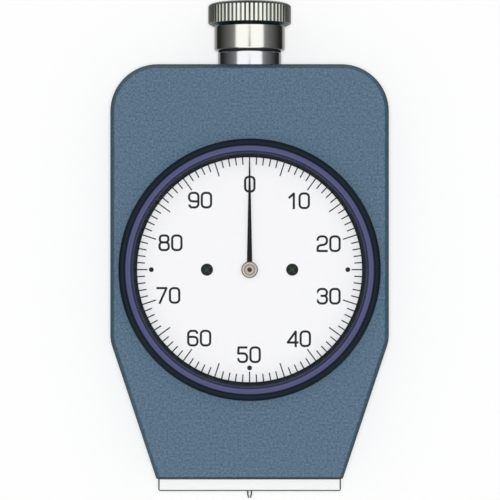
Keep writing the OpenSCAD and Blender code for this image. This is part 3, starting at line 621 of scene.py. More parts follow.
class Finishes:
    """Makes each finish's material once, with the node groups that they share."""

    noise_detail: float = 3.0
    noise_range: Point = (0.3, 0.7)
    brush_stretch: Shade = (0.03, 1.0, 1.0)
    smear_scale: float = 120.0
    smear_rough: Point = (0.0, 0.03)
    glass_ior: float = 1.5

    def __init__(self) -> None:
        """Builds the shared groups."""
        self.made: dict[str, Material] = {}
        self.groups = {pattern: self.group(pattern) for pattern in Pattern}

    def group(self, pattern: Pattern) -> Tree:
        """Builds the node group of one pattern.

        Args:
            pattern: The pattern.

        Returns:
            A group that puts out a colour, and a level from 0 to 1.
        """
        tree = bpy.data.node_groups.new(pattern.value, "ShaderNodeTree")
        for label, kind in (("Tone", "Color"), ("Fleck", "Color"), ("Scale", "Float")):
            tree.interface.new_socket(name=label, in_out="INPUT", socket_type="NodeSocket" + kind)
        for label, kind in (("Colour", "Color"), ("Level", "Float")):
            tree.interface.new_socket(name=label, in_out="OUTPUT", socket_type="NodeSocket" + kind)
        inside = tree.nodes.new("NodeGroupInput").outputs
        outside = tree.nodes.new("NodeGroupOutput")
        nodes = Nodes(tree)
        noise = nodes.add("TexNoise", {"Detail": self.noise_detail, "Scale": inside["Scale"]})
        self.aim(nodes, pattern, noise)
        level = nodes.span(noise.outputs[0], self.noise_range)
        colour = nodes.blend(level, inside["Tone"], inside["Fleck"])
        nodes.feed(outside, {"Colour": colour, "Level": level})
        return tree

    def aim(self, nodes: Nodes, pattern: Pattern, noise: Node) -> None:
        """Feeds the noise with the coordinates that a pattern follows.

        Args:
            nodes: Nodes of the group.
            pattern: The pattern.
            noise: Noise node to feed.
        """
        if pattern is Pattern.GRAIN:
            nodes.feed(noise, {"Vector": nodes.place()})
        elif pattern is Pattern.BRUSHED:
            stretch = nodes.add("Mapping", {"Vector": nodes.place(), "Scale": self.brush_stretch})
            nodes.feed(noise, {"Vector": stretch.outputs["Vector"]})
        else:
            noise.noise_dimensions = "1D"
            axis = DIAL_AXIS if pattern is Pattern.TURNED_DIAL else SPINDLE_AXIS
            nodes.feed(noise, {"W": nodes.math("ADD", *nodes.polar(axis))})

    def plain(self, name: str) -> tuple[Material, Nodes, Node]:
        """Makes a material with its nodes.

        Args:
            name: Name of the material.

        Returns:
            The material, its nodes and its Principled node.
        """
        material = bpy.data.materials.new(name)
        material.use_nodes = True
        self.made[name] = material
        return material, Nodes(material.node_tree), material.node_tree.nodes["Principled BSDF"]

    def of(self, finish: Finish) -> Material:
        """Gives the material of a finish, made when it is first asked for.

        Args:
            finish: The finish.

        Returns:
            Its material.
        """
        if finish.name in self.made:
            return self.made[finish.name]
        material, nodes, shader = self.plain(finish.name)
        tone, fleck, scale = linear(finish.tone), linear(finish.fleck), 1 / (finish.grain * MM)
        feeds = {"Tone": tone, "Fleck": fleck, "Scale": scale}
        detail = nodes.add("Group", feeds, node_tree=self.groups[finish.pattern])
        level = detail.outputs["Level"]
        feeds = {"Strength": finish.bump, "Distance": finish.depth * MM, "Height": level}
        relief = nodes.add("Bump", feeds)
        nodes.feed(shader, {
            "Base Color": detail.outputs["Colour"],
            "Roughness": nodes.span(level, (0.0, 1.0), finish.rough),
            "Normal": relief.outputs["Normal"],
            "Metallic": finish.metallic,
            "Specular IOR Level": finish.specular,
        })
        return material

    def ringed(self, finish: Finish, rings: Rings, axis: Centre) -> Material:
        """Makes a finish whose colour also changes with the distance from an axis.

        Args:
            finish: Grain, roughness and relief; its tone and fleck darken or lighten the rings.
            rings: Radius in millimetres and colour of each ring, from the inside out.
            axis: Axis that the rings lie about.

        Returns:
            The material.
        """
        material = self.of(finish)
        nodes = Nodes(material.node_tree)
        shader = material.node_tree.nodes["Principled BSDF"]
        # On the bezel, hub and knob these rings carry painted shade and painted reflections
        inner, outer = rings[0][0], rings[-1][0]
        share = nodes.span(nodes.polar(axis)[0], (inner * MM, outer * MM))
        stops = [((radius - inner) / (outer - inner), linear(shade)) for radius, shade in rings]
        grain = shader.inputs["Base Color"].links[0].from_socket
        nodes.feed(shader, {"Base Color": nodes.blend(1.0, nodes.ramp(share, stops), grain, "MULTIPLY")})
        return material

    def glass(self, name: str) -> Material:
        """Makes clear glass with faint smears, which lets light through to what lies under it.

        Args:
            name: Name of the material.

        Returns:
            The material.
        """
        material, nodes, shader = self.plain(name)
        smears = nodes.add("Group", {"Scale": self.smear_scale}, node_tree=self.groups[Pattern.GRAIN])
        nodes.feed(shader, {
            "Base Color": WHITE,
            "Roughness": nodes.span(smears.outputs["Level"], (0.0, 1.0), self.smear_rough),
            "Transmission Weight": 1.0,
            "IOR": self.glass_ior,
        })
        ray = nodes.add("LightPath").outputs
        nodes.let_through(shader, nodes.math("MAXIMUM", ray["Is Shadow Ray"], ray["Is Diffuse Ray"]))
        return material


CASE_PAINT = Finish(
    "case_paint", (71, 93, 114), (104, 128, 148), (0.5, 0.65), bump=0.25, depth=0.03, specular=0.2
)
COVER_PAINT = replace(CASE_PAINT, name="cover_paint", tone=(69, 91, 111), fleck=(96, 119, 139))
# Darker copy of the case paint on the slope round the front: painted shade where the edge turns away from
# the light
SLOPE_PAINTED_SHADE = replace(
    CASE_PAINT, name="slope_painted_shade", tone=(57, 83, 102), fleck=(84, 115, 132), specular=0.15
)
# Near-black paint on the slope above the foot: a painted shadow where the case meets the foot,
# coarse-grained so that it looks uneven
LOW_EDGE_PAINTED_SHADOW = replace(
    CASE_PAINT, name="low_edge_painted_shadow", tone=(34, 46, 56), fleck=(64, 82, 96), grain=0.7, specular=0.1
)
BRIGHT_STEEL = Finish(
    "bright_steel", (246, 248, 247), (253, 254, 253), (0.3, 0.4), Pattern.BRUSHED,
    grain=0.12, metallic=0.4,
)
# Darker copy of the bright steel for the foot's chamfers: painted shade where they turn away from the light
EDGE_STEEL_PAINTED_SHADE = replace(
    BRIGHT_STEEL, name="edge_steel_painted_shade", tone=(126, 134, 134), fleck=(152, 159, 159), metallic=1.0
)
PIN_STEEL = Finish(
    "pin_steel", (226, 229, 230), (240, 242, 243), (0.14, 0.2), Pattern.TURNED_SPINDLE,
    grain=0.1, metallic=1.0,
)
SCREW_STEEL = Finish("screw_steel", (196, 199, 202), (212, 215, 217), (0.25, 0.4), grain=0.3, metallic=1.0)
# Pale multiplier under the bezel's ring colours, which hold its black and its painted reflections
BEZEL_BLACK = Finish(
    "bezel_black", (232, 232, 236), (255, 255, 255), (0.35, 0.5), Pattern.TURNED_DIAL,
    grain=0.2, specular=0.1,
)
SEAL_RUBBER = Finish(
    "seal_rubber", (20, 21, 23), (32, 33, 35), (0.6, 0.8), grain=0.25, bump=0.2, depth=0.02
)
DIAL_WHITE = Finish(
    "dial_white", (250, 250, 253), (254, 254, 255), (0.5, 0.6), grain=0.4, bump=0.05, depth=0.005
)
DIAL_INK = Finish(
    "dial_ink", (12, 18, 15), (26, 33, 29), (0.45, 0.6), grain=0.2, bump=0.05, depth=0.005, specular=0.2
)
BLACK_OXIDE = Finish("black_oxide", (3, 8, 5), (16, 27, 21), (0.35, 0.5), grain=0.55, specular=0.12)
# Lighter oxide on the floors of the dial screws' crossed slots
SLOT_FLOOR_OXIDE = Finish("slot_floor_oxide", (34, 56, 44), (58, 84, 68), (0.35, 0.5), grain=0.3, specular=0.2)
KNOB_PLATE = Finish(
    "knob_plate", (246, 246, 238), (252, 251, 244), (0.12, 0.18), Pattern.TURNED_SPINDLE,
    grain=0.1, bump=0.03, depth=0.004, metallic=1.0,
)
# Dark copy of the knob's chrome for its round upper edge: painted shade where the edge turns away from the
# light
RIM_PAINTED_SHADE = replace(KNOB_PLATE, name="rim_plate_painted_shade", tone=(50, 62, 54), fleck=(66, 80, 70))
NECK_PLATE = replace(KNOB_PLATE, name="neck_plate", tone=(240, 242, 247), fleck=(247, 248, 252))
HUB_METAL = Finish(
    "hub_metal", (242, 242, 242), (255, 255, 255), (0.32, 0.42), Pattern.TURNED_DIAL,
    grain=0.12, metallic=0.4,
)
NEEDLE_BLACK = Finish(
    "needle_black", (3, 9, 7), (12, 19, 16), (0.4, 0.55), grain=0.3, bump=0.05, specular=0.05
)
MOVEMENT_BRASS = Finish(
    "movement_brass", (196, 158, 92), (214, 178, 112), (0.25, 0.4), Pattern.BRUSHED,
    grain=0.15, metallic=1.0,
)
GUIDE_BRONZE = Finish(
    "guide_bronze", (170, 122, 70), (188, 142, 86), (0.3, 0.45), Pattern.TURNED_SPINDLE,
    grain=0.15, metallic=1.0,
)
SPRING_STEEL = Finish(
    "spring_steel", (120, 124, 128), (142, 146, 150), (0.3, 0.45), grain=0.4, metallic=1.0
)
BLUED_STEEL = Finish("blued_steel", (52, 70, 118), (74, 96, 148), (0.25, 0.35), grain=0.6, metallic=1.0)
ARBOR_STEEL = Finish(
    "arbor_steel", (74, 56, 46), (104, 84, 72), (0.3, 0.42), Pattern.TURNED_DIAL,
    grain=0.15, metallic=1.0,
)
SPINDLE_STEEL = Finish(
    "spindle_steel", (166, 170, 173), (182, 185, 188), (0.2, 0.3), Pattern.TURNED_SPINDLE,
    grain=0.2, metallic=1.0,
)


@dataclass
class Workshop:
    """What every sub-assembly needs: the loaded nodes and the finishes."""

    nodes: dict[str, Object]
    finishes: Finishes

    def finish(self, piece: Object, slot: str, look: Finish | Material) -> None:
        """Smooths a new piece and gives it its material.

        Args:
            piece: The new piece.
            slot: Material slot of the record; not used.
            look: Finish or material to give it.
        """
        Bench.smooth(piece)
        piece.data.materials.clear()
        piece.data.materials.append(self.finishes.of(look) if isinstance(look, Finish) else look)
        LOG.info("%s is made: %d faces", piece.name, len(piece.data.polygons))

    def dress(self, piece: Object, node: str, body: str, slot: str, look: Finish | Material) -> Object:
        """Puts a finished piece in the place of a CAD node.

        Args:
            piece: The new piece.
            node: CAD node that it stands for.
            body: Body that it moves with.
            slot: Material slot of the record; not used.
            look: Finish or material to give it.

        Returns:
            The piece.
        """
        self.finish(piece, slot, look)
        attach(piece, body)
        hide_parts(node)
        return piece

    def touch_up(self, piece: Object, others: Iterable[Finish], choice: Callable[[Face], int]) -> None:
        """Gives some faces of a dressed piece other finishes.

        Args:
            piece: The piece.
            others: The other finishes.
            choice: Tells a face's finish: 0 for the piece's own, 1 for the first of the others, and so on.
        """
        for finish in others:
            piece.data.materials.append(self.finishes.of(finish))
        for face in piece.data.polygons:
            face.material_index = int(choice(face))

    def coat(self, names: Iterable[str], finish: Finish) -> None:
        """Gives CAD nodes that stay as they are a finish.

        Args:
            names: Names of the nodes.
            finish: The finish.
        """
        material = self.finishes.of(finish)
        for name in names:
            mesh = self.nodes[name].data
            mesh.materials.clear()
            mesh.materials.append(material)
            LOG.info("%s keeps its shape and gets %s", name, finish.name)


@dataclass(frozen=True)
class Countersunk:
    """Slotted countersunk screw, whose head lies just inside a face."""

    head_r: float
    shank_r: float
    length: float
    slot_w: float
    slot_h: float = 0.5
    sink: float = 0.1
    head_edge: float = 0.05
    end_edge: float = 0.2
    mouth: float = 0.2

    def make(self, name: str, axis: Centre, face: float, turn: float = 0.0) -> Object:
        """Turns the screw and cuts its slot.

        Args:
            name: Name of the object.
            axis: Axis of the screw.
            face: Height of the face on the axis.
            turn: Turn of the slot in degrees.

        Returns:
            The screw.
        """
        wide = self.head_r - self.sink
        head, end = face + self.sink, face + self.length
        profile = [
            (0.0, head), (wide - self.head_edge, head), (wide, head + self.head_edge),
            (self.shank_r, face + self.head_r - self.shank_r), (self.shank_r, end - self.end_edge),
            (self.shank_r - self.end_edge, end), (0.0, end),
        ]
        screw = Bench.turned(name, axis, profile, SMALL_STEPS)
        along = Vector(axis.along.value)
        middle = Vector((axis.x, axis.y, axis.z))
        reach = Vector((2 * self.head_r, 0.0, 0.0)) + (Vector((0.0, 1.0, 1.0)) - along) * self.slot_w / 2
        low, high = along * (face - OVERCUT), along * (head + self.slot_h)
        slot = Bench.block("slot", middle - reach + low, middle + reach + high)
        if turn:
            Bench.turn(slot, axis, math.radians(turn))
        return Bench.carve(screw, [slot])

    def seat(self, axis: Centre, face: float, far: float) -> list[Object]:
        """Makes the cutters of the screw's hole.

        Args:
            axis: Axis of the screw.
            face: Height of the face that the head lies in.
            far: Height of the plate's other face.

        Returns:
            The straight cutter and the tapered one.
        """
        wide = self.head_r + self.sink
        hole = Bench.rod("hole", axis, self.shank_r + self.sink, face - OVERCUT, far + OVERCUT)
        taper = (wide + self.mouth, face - self.mouth, face + wide - self.shank_r, self.shank_r)
        return [hole, Bench.rod("sink", axis, *taper)]


@dataclass
class Case:
    """Die-cast case with its back cover."""

    width: float = 67.0
    top: float = 49.4
    low: float = 50.4
    depth: float = 24.0
    base_width: float = 44.8
    shoulder_drop: float = 17.1
    corner_r: float = 11.4
    corner_steps: int = 16
    screw_corner_r: float = 11.0
    shoulder_r: float = 8.0
    base_r: float = 0.6
    bend_steps: int = 6
    edge_w: float = 1.1
    edge_h: float = 2.0
    edge_break: float = 0.15
    low_edge: float = 0.6
    base_break: float = 0.4
    wall: float = 2.5
    front_wall: float = 2.0
    cover_t: float = 2.0
    cover_inset: float = 0.15
    cover_edge: float = 0.5
    opening_r: float = 27.6
    spigot_r: float = 29.0
    spigot_h: float = 2.8
    stem_hole_r: float = 6.1
    bush_r: float = 4.0
    bush_boss_r: float = 7.0
    bush_boss_h: float = 8.4
    foot_screw_x: float = 15.0
    foot_screw_r: float = 1.5
    foot_boss_r: float = 3.5
    foot_boss_h: float = 7.0
    foot_hole_h: float = 5.4
    cover_boss_r: float = 3.2
    cover_boss_h: float = 8.0
    cover_boss_bite: float = 1.0
    cover_hole_h: float = 4.9
    cover_screw: Countersunk = Countersunk(head_r=2.3, shank_r=1.25, length=6.5, slot_w=0.6)
    slot_turn: float = 30.0
    posts: tuple[Point, ...] = ((-24.5, 20.0), (24.5, 20.0), (-23.5, -20.5), (23.5, -20.5))
    post_r: float = 3.0
    post_low: float = 15.9
    post_hole_r: float = 1.0
    post_hole_h: float = 3.9
    # Shares of a face's normal that tell the front, the slope round it and the slope above the foot apart;
    # the two slopes get painted shade
    front_facing: float = 0.9
    slope_facing: Point = (0.1, 0.7)
    low_slope_facing: Point = (0.1, 0.97)
    down_facing: float = -0.3

    def slant(self) -> float:
        """Gives the angle of the tapered sides."""
        return math.atan((self.width - self.base_width) / 2 / (self.low - self.shoulder_drop))

    def side(self, height: float, inset: float) -> float:
        """Gives the half width of the tapered part at a height, moved in by an inset."""
        slant = self.slant()
        return self.base_width / 2 + (height + self.low) * math.tan(slant) - inset / math.cos(slant)

    def cover_spots(self) -> list[Point]:
        """Gives the places of the four cover screws.

        Returns:
            Two places in the upper corners and two in the lower ones.
        """
        inward = self.wall + self.cover_boss_r - self.cover_boss_bite
        reach = (self.screw_corner_r - inward) / math.sqrt(2)
        high = (self.width / 2 - self.screw_corner_r + reach, self.top - self.screw_corner_r + reach)
        low = (self.side(-self.low + inward, inward), -self.low + inward)
        return [(-high[0], high[1]), high, (-low[0], low[1]), low]

    def outline(self, name: str, inset: float, low: float, high: float, base_r: float) -> Object:
        """Models the case's outline as a block with tapered sides and round corners.

        Args:
            name: Name of the object.
            inset: How far the outline is moved in.
            low: Height of its back.
            high: Height of its front.
            base_r: Radius of the two lower corners, or 0 for sharp ones.

        Returns:
            The block.
        """
        half = self.width / 2 - inset
        block = Bench.block(name, (-half, -self.low + inset, low), (half, self.top - inset, high))
        slant = self.slant()
        foot_x = self.side(-self.low + inset, inset)
        for sign in (-1, 1):
            normal = (sign * math.cos(slant), -math.sin(slant), 0.0)
            Bench.shear_off(block, (sign * foot_x, -self.low + inset, 0.0), normal)
        bend_y = (half + inset / math.cos(slant) - self.base_width / 2) / math.tan(slant) - self.low
        corners = (
            (half, self.top - inset, self.corner_r - inset, self.corner_steps),
            (half, bend_y, (self.shoulder_r - inset) * math.tan(slant / 2), self.bend_steps),
            (foot_x, -self.low + inset, base_r * math.tan(math.pi / 4 - slant / 2), self.bend_steps),
        )
        for x, y, width, segments in corners:
            if width > 0:
                Bench.round_edges(block, upright_edge(x, y), width, segments)
        return block

    def slope_edge(self, shell: Object) -> None:
        """Raises the front face inside a steep sloping edge, which is narrower above the foot.

        Args:
            shell: Solid outline of the case, up to the foot of the slope.
        """
        start = self.depth - self.edge_h
        raised = (start + NEAR) * MM
        foot_y = (-self.low + 2 * self.edge_w) * MM

        def front(face: bmesh.types.BMFace) -> bool:
            """Picks the front face."""
            return face.normal.z > self.front_facing and face.calc_center_median().z > (start - NEAR) * MM

        with Bench.editing(shell, "FACE"):
            Bench.pick(shell, "faces", front)
            bpy.ops.mesh.inset(thickness=self.edge_w * MM, depth=self.edge_h * MM)
            bpy.ops.mesh.select_mode(type="VERT")
            Bench.pick(shell, "verts", lambda vert: vert.co.z > raised and vert.co.y < foot_y)
            bpy.ops.transform.translate(value=(0.0, (self.low_edge - self.edge_w) * MM, 0.0))
        Bench.round_edges(shell, level_edge(self.depth), self.edge_break, segments=2)
        corner = upright_edge(self.base_width / 2, -self.low)
        Bench.round_edges(
            shell,
            lambda a, b: corner(a, b) and max(a.z, b.z) < start + NEAR,
            self.base_break,
            segments=3,
        )

    def coat_of(self, face: Face) -> int:
        """Tells whether a face of the shell has the plain paint or one of the two painted shades.

        Args:
            face: Face of the shell.

        Returns:
            0 for the plain paint, 1 for painted shade on the slope round the front and 2 for a darker
            painted shadow on the slope above the foot.
        """
        middle, facing = face.center / MM, face.normal.z
        if middle.z < self.depth - self.edge_h:
            return 0
        low, high = self.low_slope_facing
        above_foot = face.normal.y < self.down_facing and middle.y < self.low_edge - self.low
        if above_foot and low < facing < high:
            return 2
        low, high = self.slope_facing
        return int(low < facing < high)

    def shell(self) -> Object:
        """Models the hollow case with its spigot, posts, bosses and holes.

        Returns:
            The shell.
        """
        shell = self.outline("case_body", 0.0, self.cover_t, self.depth - self.edge_h, 0.0)
        self.slope_edge(shell)
        inside = self.depth - self.front_wall
        front = self.depth + self.spigot_h
        lower_wall = -self.low + self.wall / 2
        boss_top = -self.low + self.bush_boss_h
        Bench.carve(shell, [self.outline("cavity", self.wall, self.cover_t - OVERCUT, inside, self.base_r)])
        bosses = [
            (DIAL_AXIS, self.spigot_r, inside + OVERCUT, front),
            (SPINDLE_AXIS, self.bush_boss_r, lower_wall, boss_top),
        ]
        holes = [
            (DIAL_AXIS, self.opening_r, inside - OVERCUT, front + OVERCUT),
            (SPINDLE_AXIS, self.stem_hole_r, self.top - self.wall - OVERCUT, self.top + OVERCUT),
            (SPINDLE_AXIS, self.bush_r, -self.low - OVERCUT, boss_top + OVERCUT),
        ]
        for x in (-self.foot_screw_x, self.foot_screw_x):
            axis = SPINDLE_AXIS.moved(x)
            bosses.append((axis, self.foot_boss_r, lower_wall, -self.low + self.foot_boss_h))
            holes.append((axis, self.foot_screw_r, -self.low - OVERCUT, -self.low + self.foot_hole_h))
        for spot in self.cover_spots():
            axis, low = DIAL_AXIS.moved(*spot), self.cover_t
            bosses.append((axis, self.cover_boss_r, low, low + self.cover_boss_h))
            holes.append((axis, self.cover_screw.shank_r, low - OVERCUT, low + self.cover_hole_h))
        for spot in self.posts:
            axis, low = DIAL_AXIS.moved(*spot), self.post_low
            bosses.append((axis, self.post_r, low, inside + OVERCUT))
            holes.append((axis, self.post_hole_r, low - OVERCUT, low + self.post_hole_h))
        Bench.carve(shell, [Bench.rod("boss", *row) for row in bosses], "UNION")
        return Bench.carve(shell, [Bench.rod("hole", *row) for row in holes])

    def cover(self) -> Object:
        """Models the back cover with its bevelled edge and countersunk holes.

        Returns:
            The cover.
        """
        cover = self.outline("cover_plate", self.cover_inset, 0.0, self.cover_t, self.base_r)
        Bench.round_edges(cover, level_edge(0.0), self.cover_edge, segments=3)
        for spot in self.cover_spots():
            Bench.carve(cover, self.cover_screw.seat(DIAL_AXIS.moved(*spot), 0.0, self.cover_t))
        return cover

    def screws(self) -> Object:
        """Models the four countersunk screws of the cover.

        Returns:
            The screws as one piece.
        """
        first, *others = self.cover_spots()
        screw = self.cover_screw.make("cover_screw_set", DIAL_AXIS.moved(*first), 0.0, self.slot_turn)
        return Bench.copy_to(screw, [(x - first[0], y - first[1], 0.0) for x, y in others])

    def build(self, shop: Workshop) -> None:
        """Models and dresses the case.

        Args:
            shop: The nodes and finishes.
        """
        shell = shop.dress(self.shell(), "case_shell", "case", "case_paint", CASE_PAINT)
        # The slopes get painted shade: a darker paint round the front, and a painted shadow above the foot
        shop.touch_up(shell, (SLOPE_PAINTED_SHADE, LOW_EDGE_PAINTED_SHADOW), self.coat_of)
        shop.dress(self.cover(), "back_cover", "case", "cover_paint", COVER_PAINT)
        shop.dress(self.screws(), "cover_screws", "case", "screw_steel", SCREW_STEEL)


@dataclass
class Foot:
    """Pressure foot, its screws and the indenter."""

    width: float = 44.0
    depth: float = 18.0
    thickness: float = 3.0
    top: float = -50.4
    chamfer: float = 0.32
    top_break: float = 0.18
    hole_r: float = 1.5
    screw_x: float = 15.0
    screw: Countersunk = Countersunk(head_r=2.8, shank_r=1.5, length=8.0, slot_w=0.7)
    indenter_r: float = 0.625
    tip_r: float = 0.395
    tip_y: float = -55.9
    cone: float = 0.7294
    cone_blend: Point = (0.01, 0.03)
    indenter_top: float = -46.9
    # Largest share of the normal along one axis on a slanting face
    slant_facing: float = 0.9

    def face(self) -> float:
        """Gives the height of the foot's pressing face."""
        return self.top - self.thickness

    def outer_edge(self, start: Vector, end: Vector) -> bool:
        """Picks the edges round the pressing face and the four upright ones.

        Args:
            start: One end of an edge.
            end: Its other end.

        Returns:
            Whether the edge is one of these.
        """
        under = max(abs(start.y - self.face()), abs(end.y - self.face())) < NEAR
        across = max(abs(start.x - end.x), abs(start.z - end.z))
        return under or (across < NEAR and abs(start.y - end.y) > self.thickness / 2)

    def plate(self) -> Object:
        """Models the foot with its broken edges and holes.

        Returns:
            The plate.
        """
        half_w, half_d = self.width / 2, self.depth / 2
        face, top = self.face(), self.top
        plate = Bench.block(
            "foot_plate", (-half_w, face, SPINDLE_Z - half_d), (half_w, top, SPINDLE_Z + half_d)
        )
        Bench.round_edges(
            plate, lambda a, b: abs(a.y - top) + abs(b.y - top) < NEAR, self.top_break, segments=1
        )
        Bench.round_edges(plate, self.outer_edge, self.chamfer, segments=1)
        holes = [Bench.rod("hole", SPINDLE_AXIS, self.hole_r, face - OVERCUT, top + OVERCUT)]
        for x in (-self.screw_x, self.screw_x):
            holes.extend(self.screw.seat(SPINDLE_AXIS.moved(x), face, top))
        return Bench.carve(plate, holes)

    def chamfered(self, face: Face) -> bool:
        """Says whether a face of the plate belongs to its ground edges, which get a darker copy of the
        steel as painted shade.

        Args:
            face: Face of the plate.

        Returns:
            Whether it slants and lies on the plate's outer border.
        """
        slants = max(abs(share) for share in face.normal) < self.slant_facing
        middle = face.center / MM
        aside = abs(middle.x) > self.width / 2 - 2 * self.chamfer
        return slants and (aside or abs(middle.z - SPINDLE_Z) > self.depth / 2 - 2 * self.chamfer)

    def screws(self) -> Object:
        """Models the two countersunk screws of the foot."""
        screw = self.screw.make("foot_screw_pair", SPINDLE_AXIS.moved(-self.screw_x), self.face())
        return Bench.copy_to(screw, [(2 * self.screw_x, 0.0, 0.0)])

    def pin(self) -> Object:
        """Turns the indenter.

        Returns:
            The pin.
        """
        r, tip, top = self.indenter_r, self.tip_y, self.indenter_top
        inward, rise = self.cone_blend
        shoulder = tip + self.cone
        profile = [
            (0.0, tip), (self.tip_r, tip), (r - inward, shoulder),
            (r, shoulder + rise), (r, top), (0.0, top),
        ]
        return Bench.turned("indenter_pin", SPINDLE_AXIS, profile, SMALL_STEPS)

    def build(self, shop: Workshop) -> None:
        """Models and dresses the foot.

        Args:
            shop: The nodes and finishes.
        """
        plate = shop.dress(self.plate(), "pressure_foot", "case", "bright_steel", BRIGHT_STEEL)
        # The chamfers get the darker steel as painted shade
        shop.touch_up(plate, (EDGE_STEEL_PAINTED_SHADE,), self.chamfered)
        shop.dress(self.screws(), "foot_screws", "case", "screw_steel", SCREW_STEEL)
        shop.dress(self.pin(), "indenter", "plunger", "bright_steel", PIN_STEEL)


@dataclass
class Stroke:
    """One pen stroke of a numeral: its corners, and the radius at each of them."""

    corners: Sequence[Point]
    radii: Sequence[float]
    closed: bool = False
    # Share of the way to the corner that makes a bend round, and the bend's steps
    pull: float = 0.5523
    steps: int = 8

    def path(self) -> list[Point]:
        """Gives the stroke's points, with its corners rounded.

        Returns:
            The points in order.
        """
        count = len(self.corners)
        points: list[Point] = []
        for index, (corner, radius) in enumerate(zip(self.corners, self.radii)):
            ends = index in (0, count - 1) and not self.closed
            if ends or radius == 0:
                points.append(corner)
            else:
                after = self.corners[(index + 1) % count]
                points.extend(self.bend(self.corners[index - 1], corner, after, radius))
        return points

    def bend(self, before: Point, corner: Point, after: Point, radius: float) -> list[Point]:
        """Rounds one corner.

        Args:
            before: Corner before it.
            corner: The corner.
            after: Corner after it.
            radius: Distance from the corner at which the bend begins, on a right angle.

        Returns:
            The points of the bend.
        """
        middle = Vector(corner)
        start, end = (middle + (Vector(p) - middle).normalized() * radius for p in (before, after))
        near, far = start.lerp(middle, self.pull), end.lerp(middle, self.pull)
        points = []
        for step in range(self.steps + 1):
            t = step / self.steps
            s = 1 - t
            point = s**3 * start + 3 * s**2 * t * near + 3 * s * t * t * far + t**3 * end
            points.append((point.x, point.y))
        return points


@dataclass(frozen=True)
class Numerals:
    """Stroke-built numerals with squared curves."""

    half_w: float = 1.11
    half_h: float = 1.74
    bend: float = 0.85
    tight: float = 0.06
    pitch: float = 3.04
    stroke: float = 0.54
    # Small shifts of the numbers 0, 10, 20 and so on from their places on the circle
    nudges: tuple[Point, ...] = (
        (0.05, 0.2), (-0.35, 0.1), (-0.35, -0.05), (-0.36, -0.1), (-0.1, -0.15),
        (-0.2, -0.1), (-0.15, 0.0), (-0.2, 0.1), (0.33, 0.17), (0.06, 0.25),
    )

    def strokes(self, digit: str) -> list[Stroke]:
        """Gives the strokes of one digit, about its own middle.

        Args:
            digit: The digit.

        Returns:
            Its strokes.
        """
        w, h, r, tight = self.half_w, self.half_h, self.bend, self.tight
        foot = -h - self.stroke / 2
        loop = [(-w, -h), (w, -h), (w, h), (-w, h)]
        six = [(w - 0.08, 1.02), (w - 0.08, h), (-w, h), (-w, -h), (w, -h), (w, 0.3), (-w, 0.3)]
        six_bends = [0, 0.65, r, r, r, r, 0]
        two = [(-w, 0.7), (-w, h), (w, h), (w, -0.12), (-w, -0.5), (-w, -h), (w + 0.2, -h)]
        flag = [(w + 0.1, h), (-w + 0.2, h), (-w + 0.1, 0.3)]
        bowl = [(w, 0.3), (w, -h), (-w + 0.1, -h), (-w + 0.1, -1.05)]
        four = [(0.75, foot), (0.75, h), (-w - 0.05, -0.9), (w + 0.3, -0.9)]
        shapes = {
            "0": [Stroke(loop, [r] * 4, True)],
            "1": [Stroke([(-0.68, 0.6), (0.55, h), (0.55, foot)], [0, tight, 0])],
            "2": [Stroke(two, [0, r, r, 0.75, 0.6, tight, 0])],
            "3": [
                Stroke([(-w, 1.0), (-w, h), (w, h), (w, 0.08), (-0.4, 0.08)], [0, r, r, 0.7, 0]),
                Stroke([(-0.4, 0.08), (w, 0.08), (w, -h), (-w, -h), (-w, -1.0)], [0, 0.7, r, r, 0]),
            ],
            "4": [Stroke(four, [0, tight, tight, 0])],
            "5": [Stroke(flag + bowl, [0, tight, tight, r, r, r, 0])],
            "6": [Stroke(six, six_bends)],
            "7": [Stroke([(-w - 0.2, h), (w, h), (-0.6, foot)], [0, tight, 0])],
            "8": [
                Stroke([(-w + 0.1, 0.1), (w - 0.1, 0.1), (w - 0.1, h), (-w + 0.1, h)], [0.65] * 4, True),
                Stroke([(-w, -h), (w, -h), (w, 0.1), (-w, 0.1)], [0.75] * 4, True),
            ],
            "9": [Stroke([(-x, -y) for x, y in six], six_bends)],
        }
        return shapes[digit]

    def runs(self, text: str, middle: Vector) -> list[tuple[list[Vector], bool]]:
        """Gives the strokes of a number as runs of wire.

        Args:
            text: The number.
            middle: Its middle on the dial.

        Returns:
            Points of each run, and whether it closes on itself.
        """
        runs = []
        for index, digit in enumerate(text):
            shift = (index - (len(text) - 1) / 2) * self.pitch
            for stroke in self.strokes(digit):
                path = [Vector((middle.x + shift + x, middle.y + y, 0.0)) for x, y in stroke.path()]
                runs.append((path, stroke.closed))
        return runs


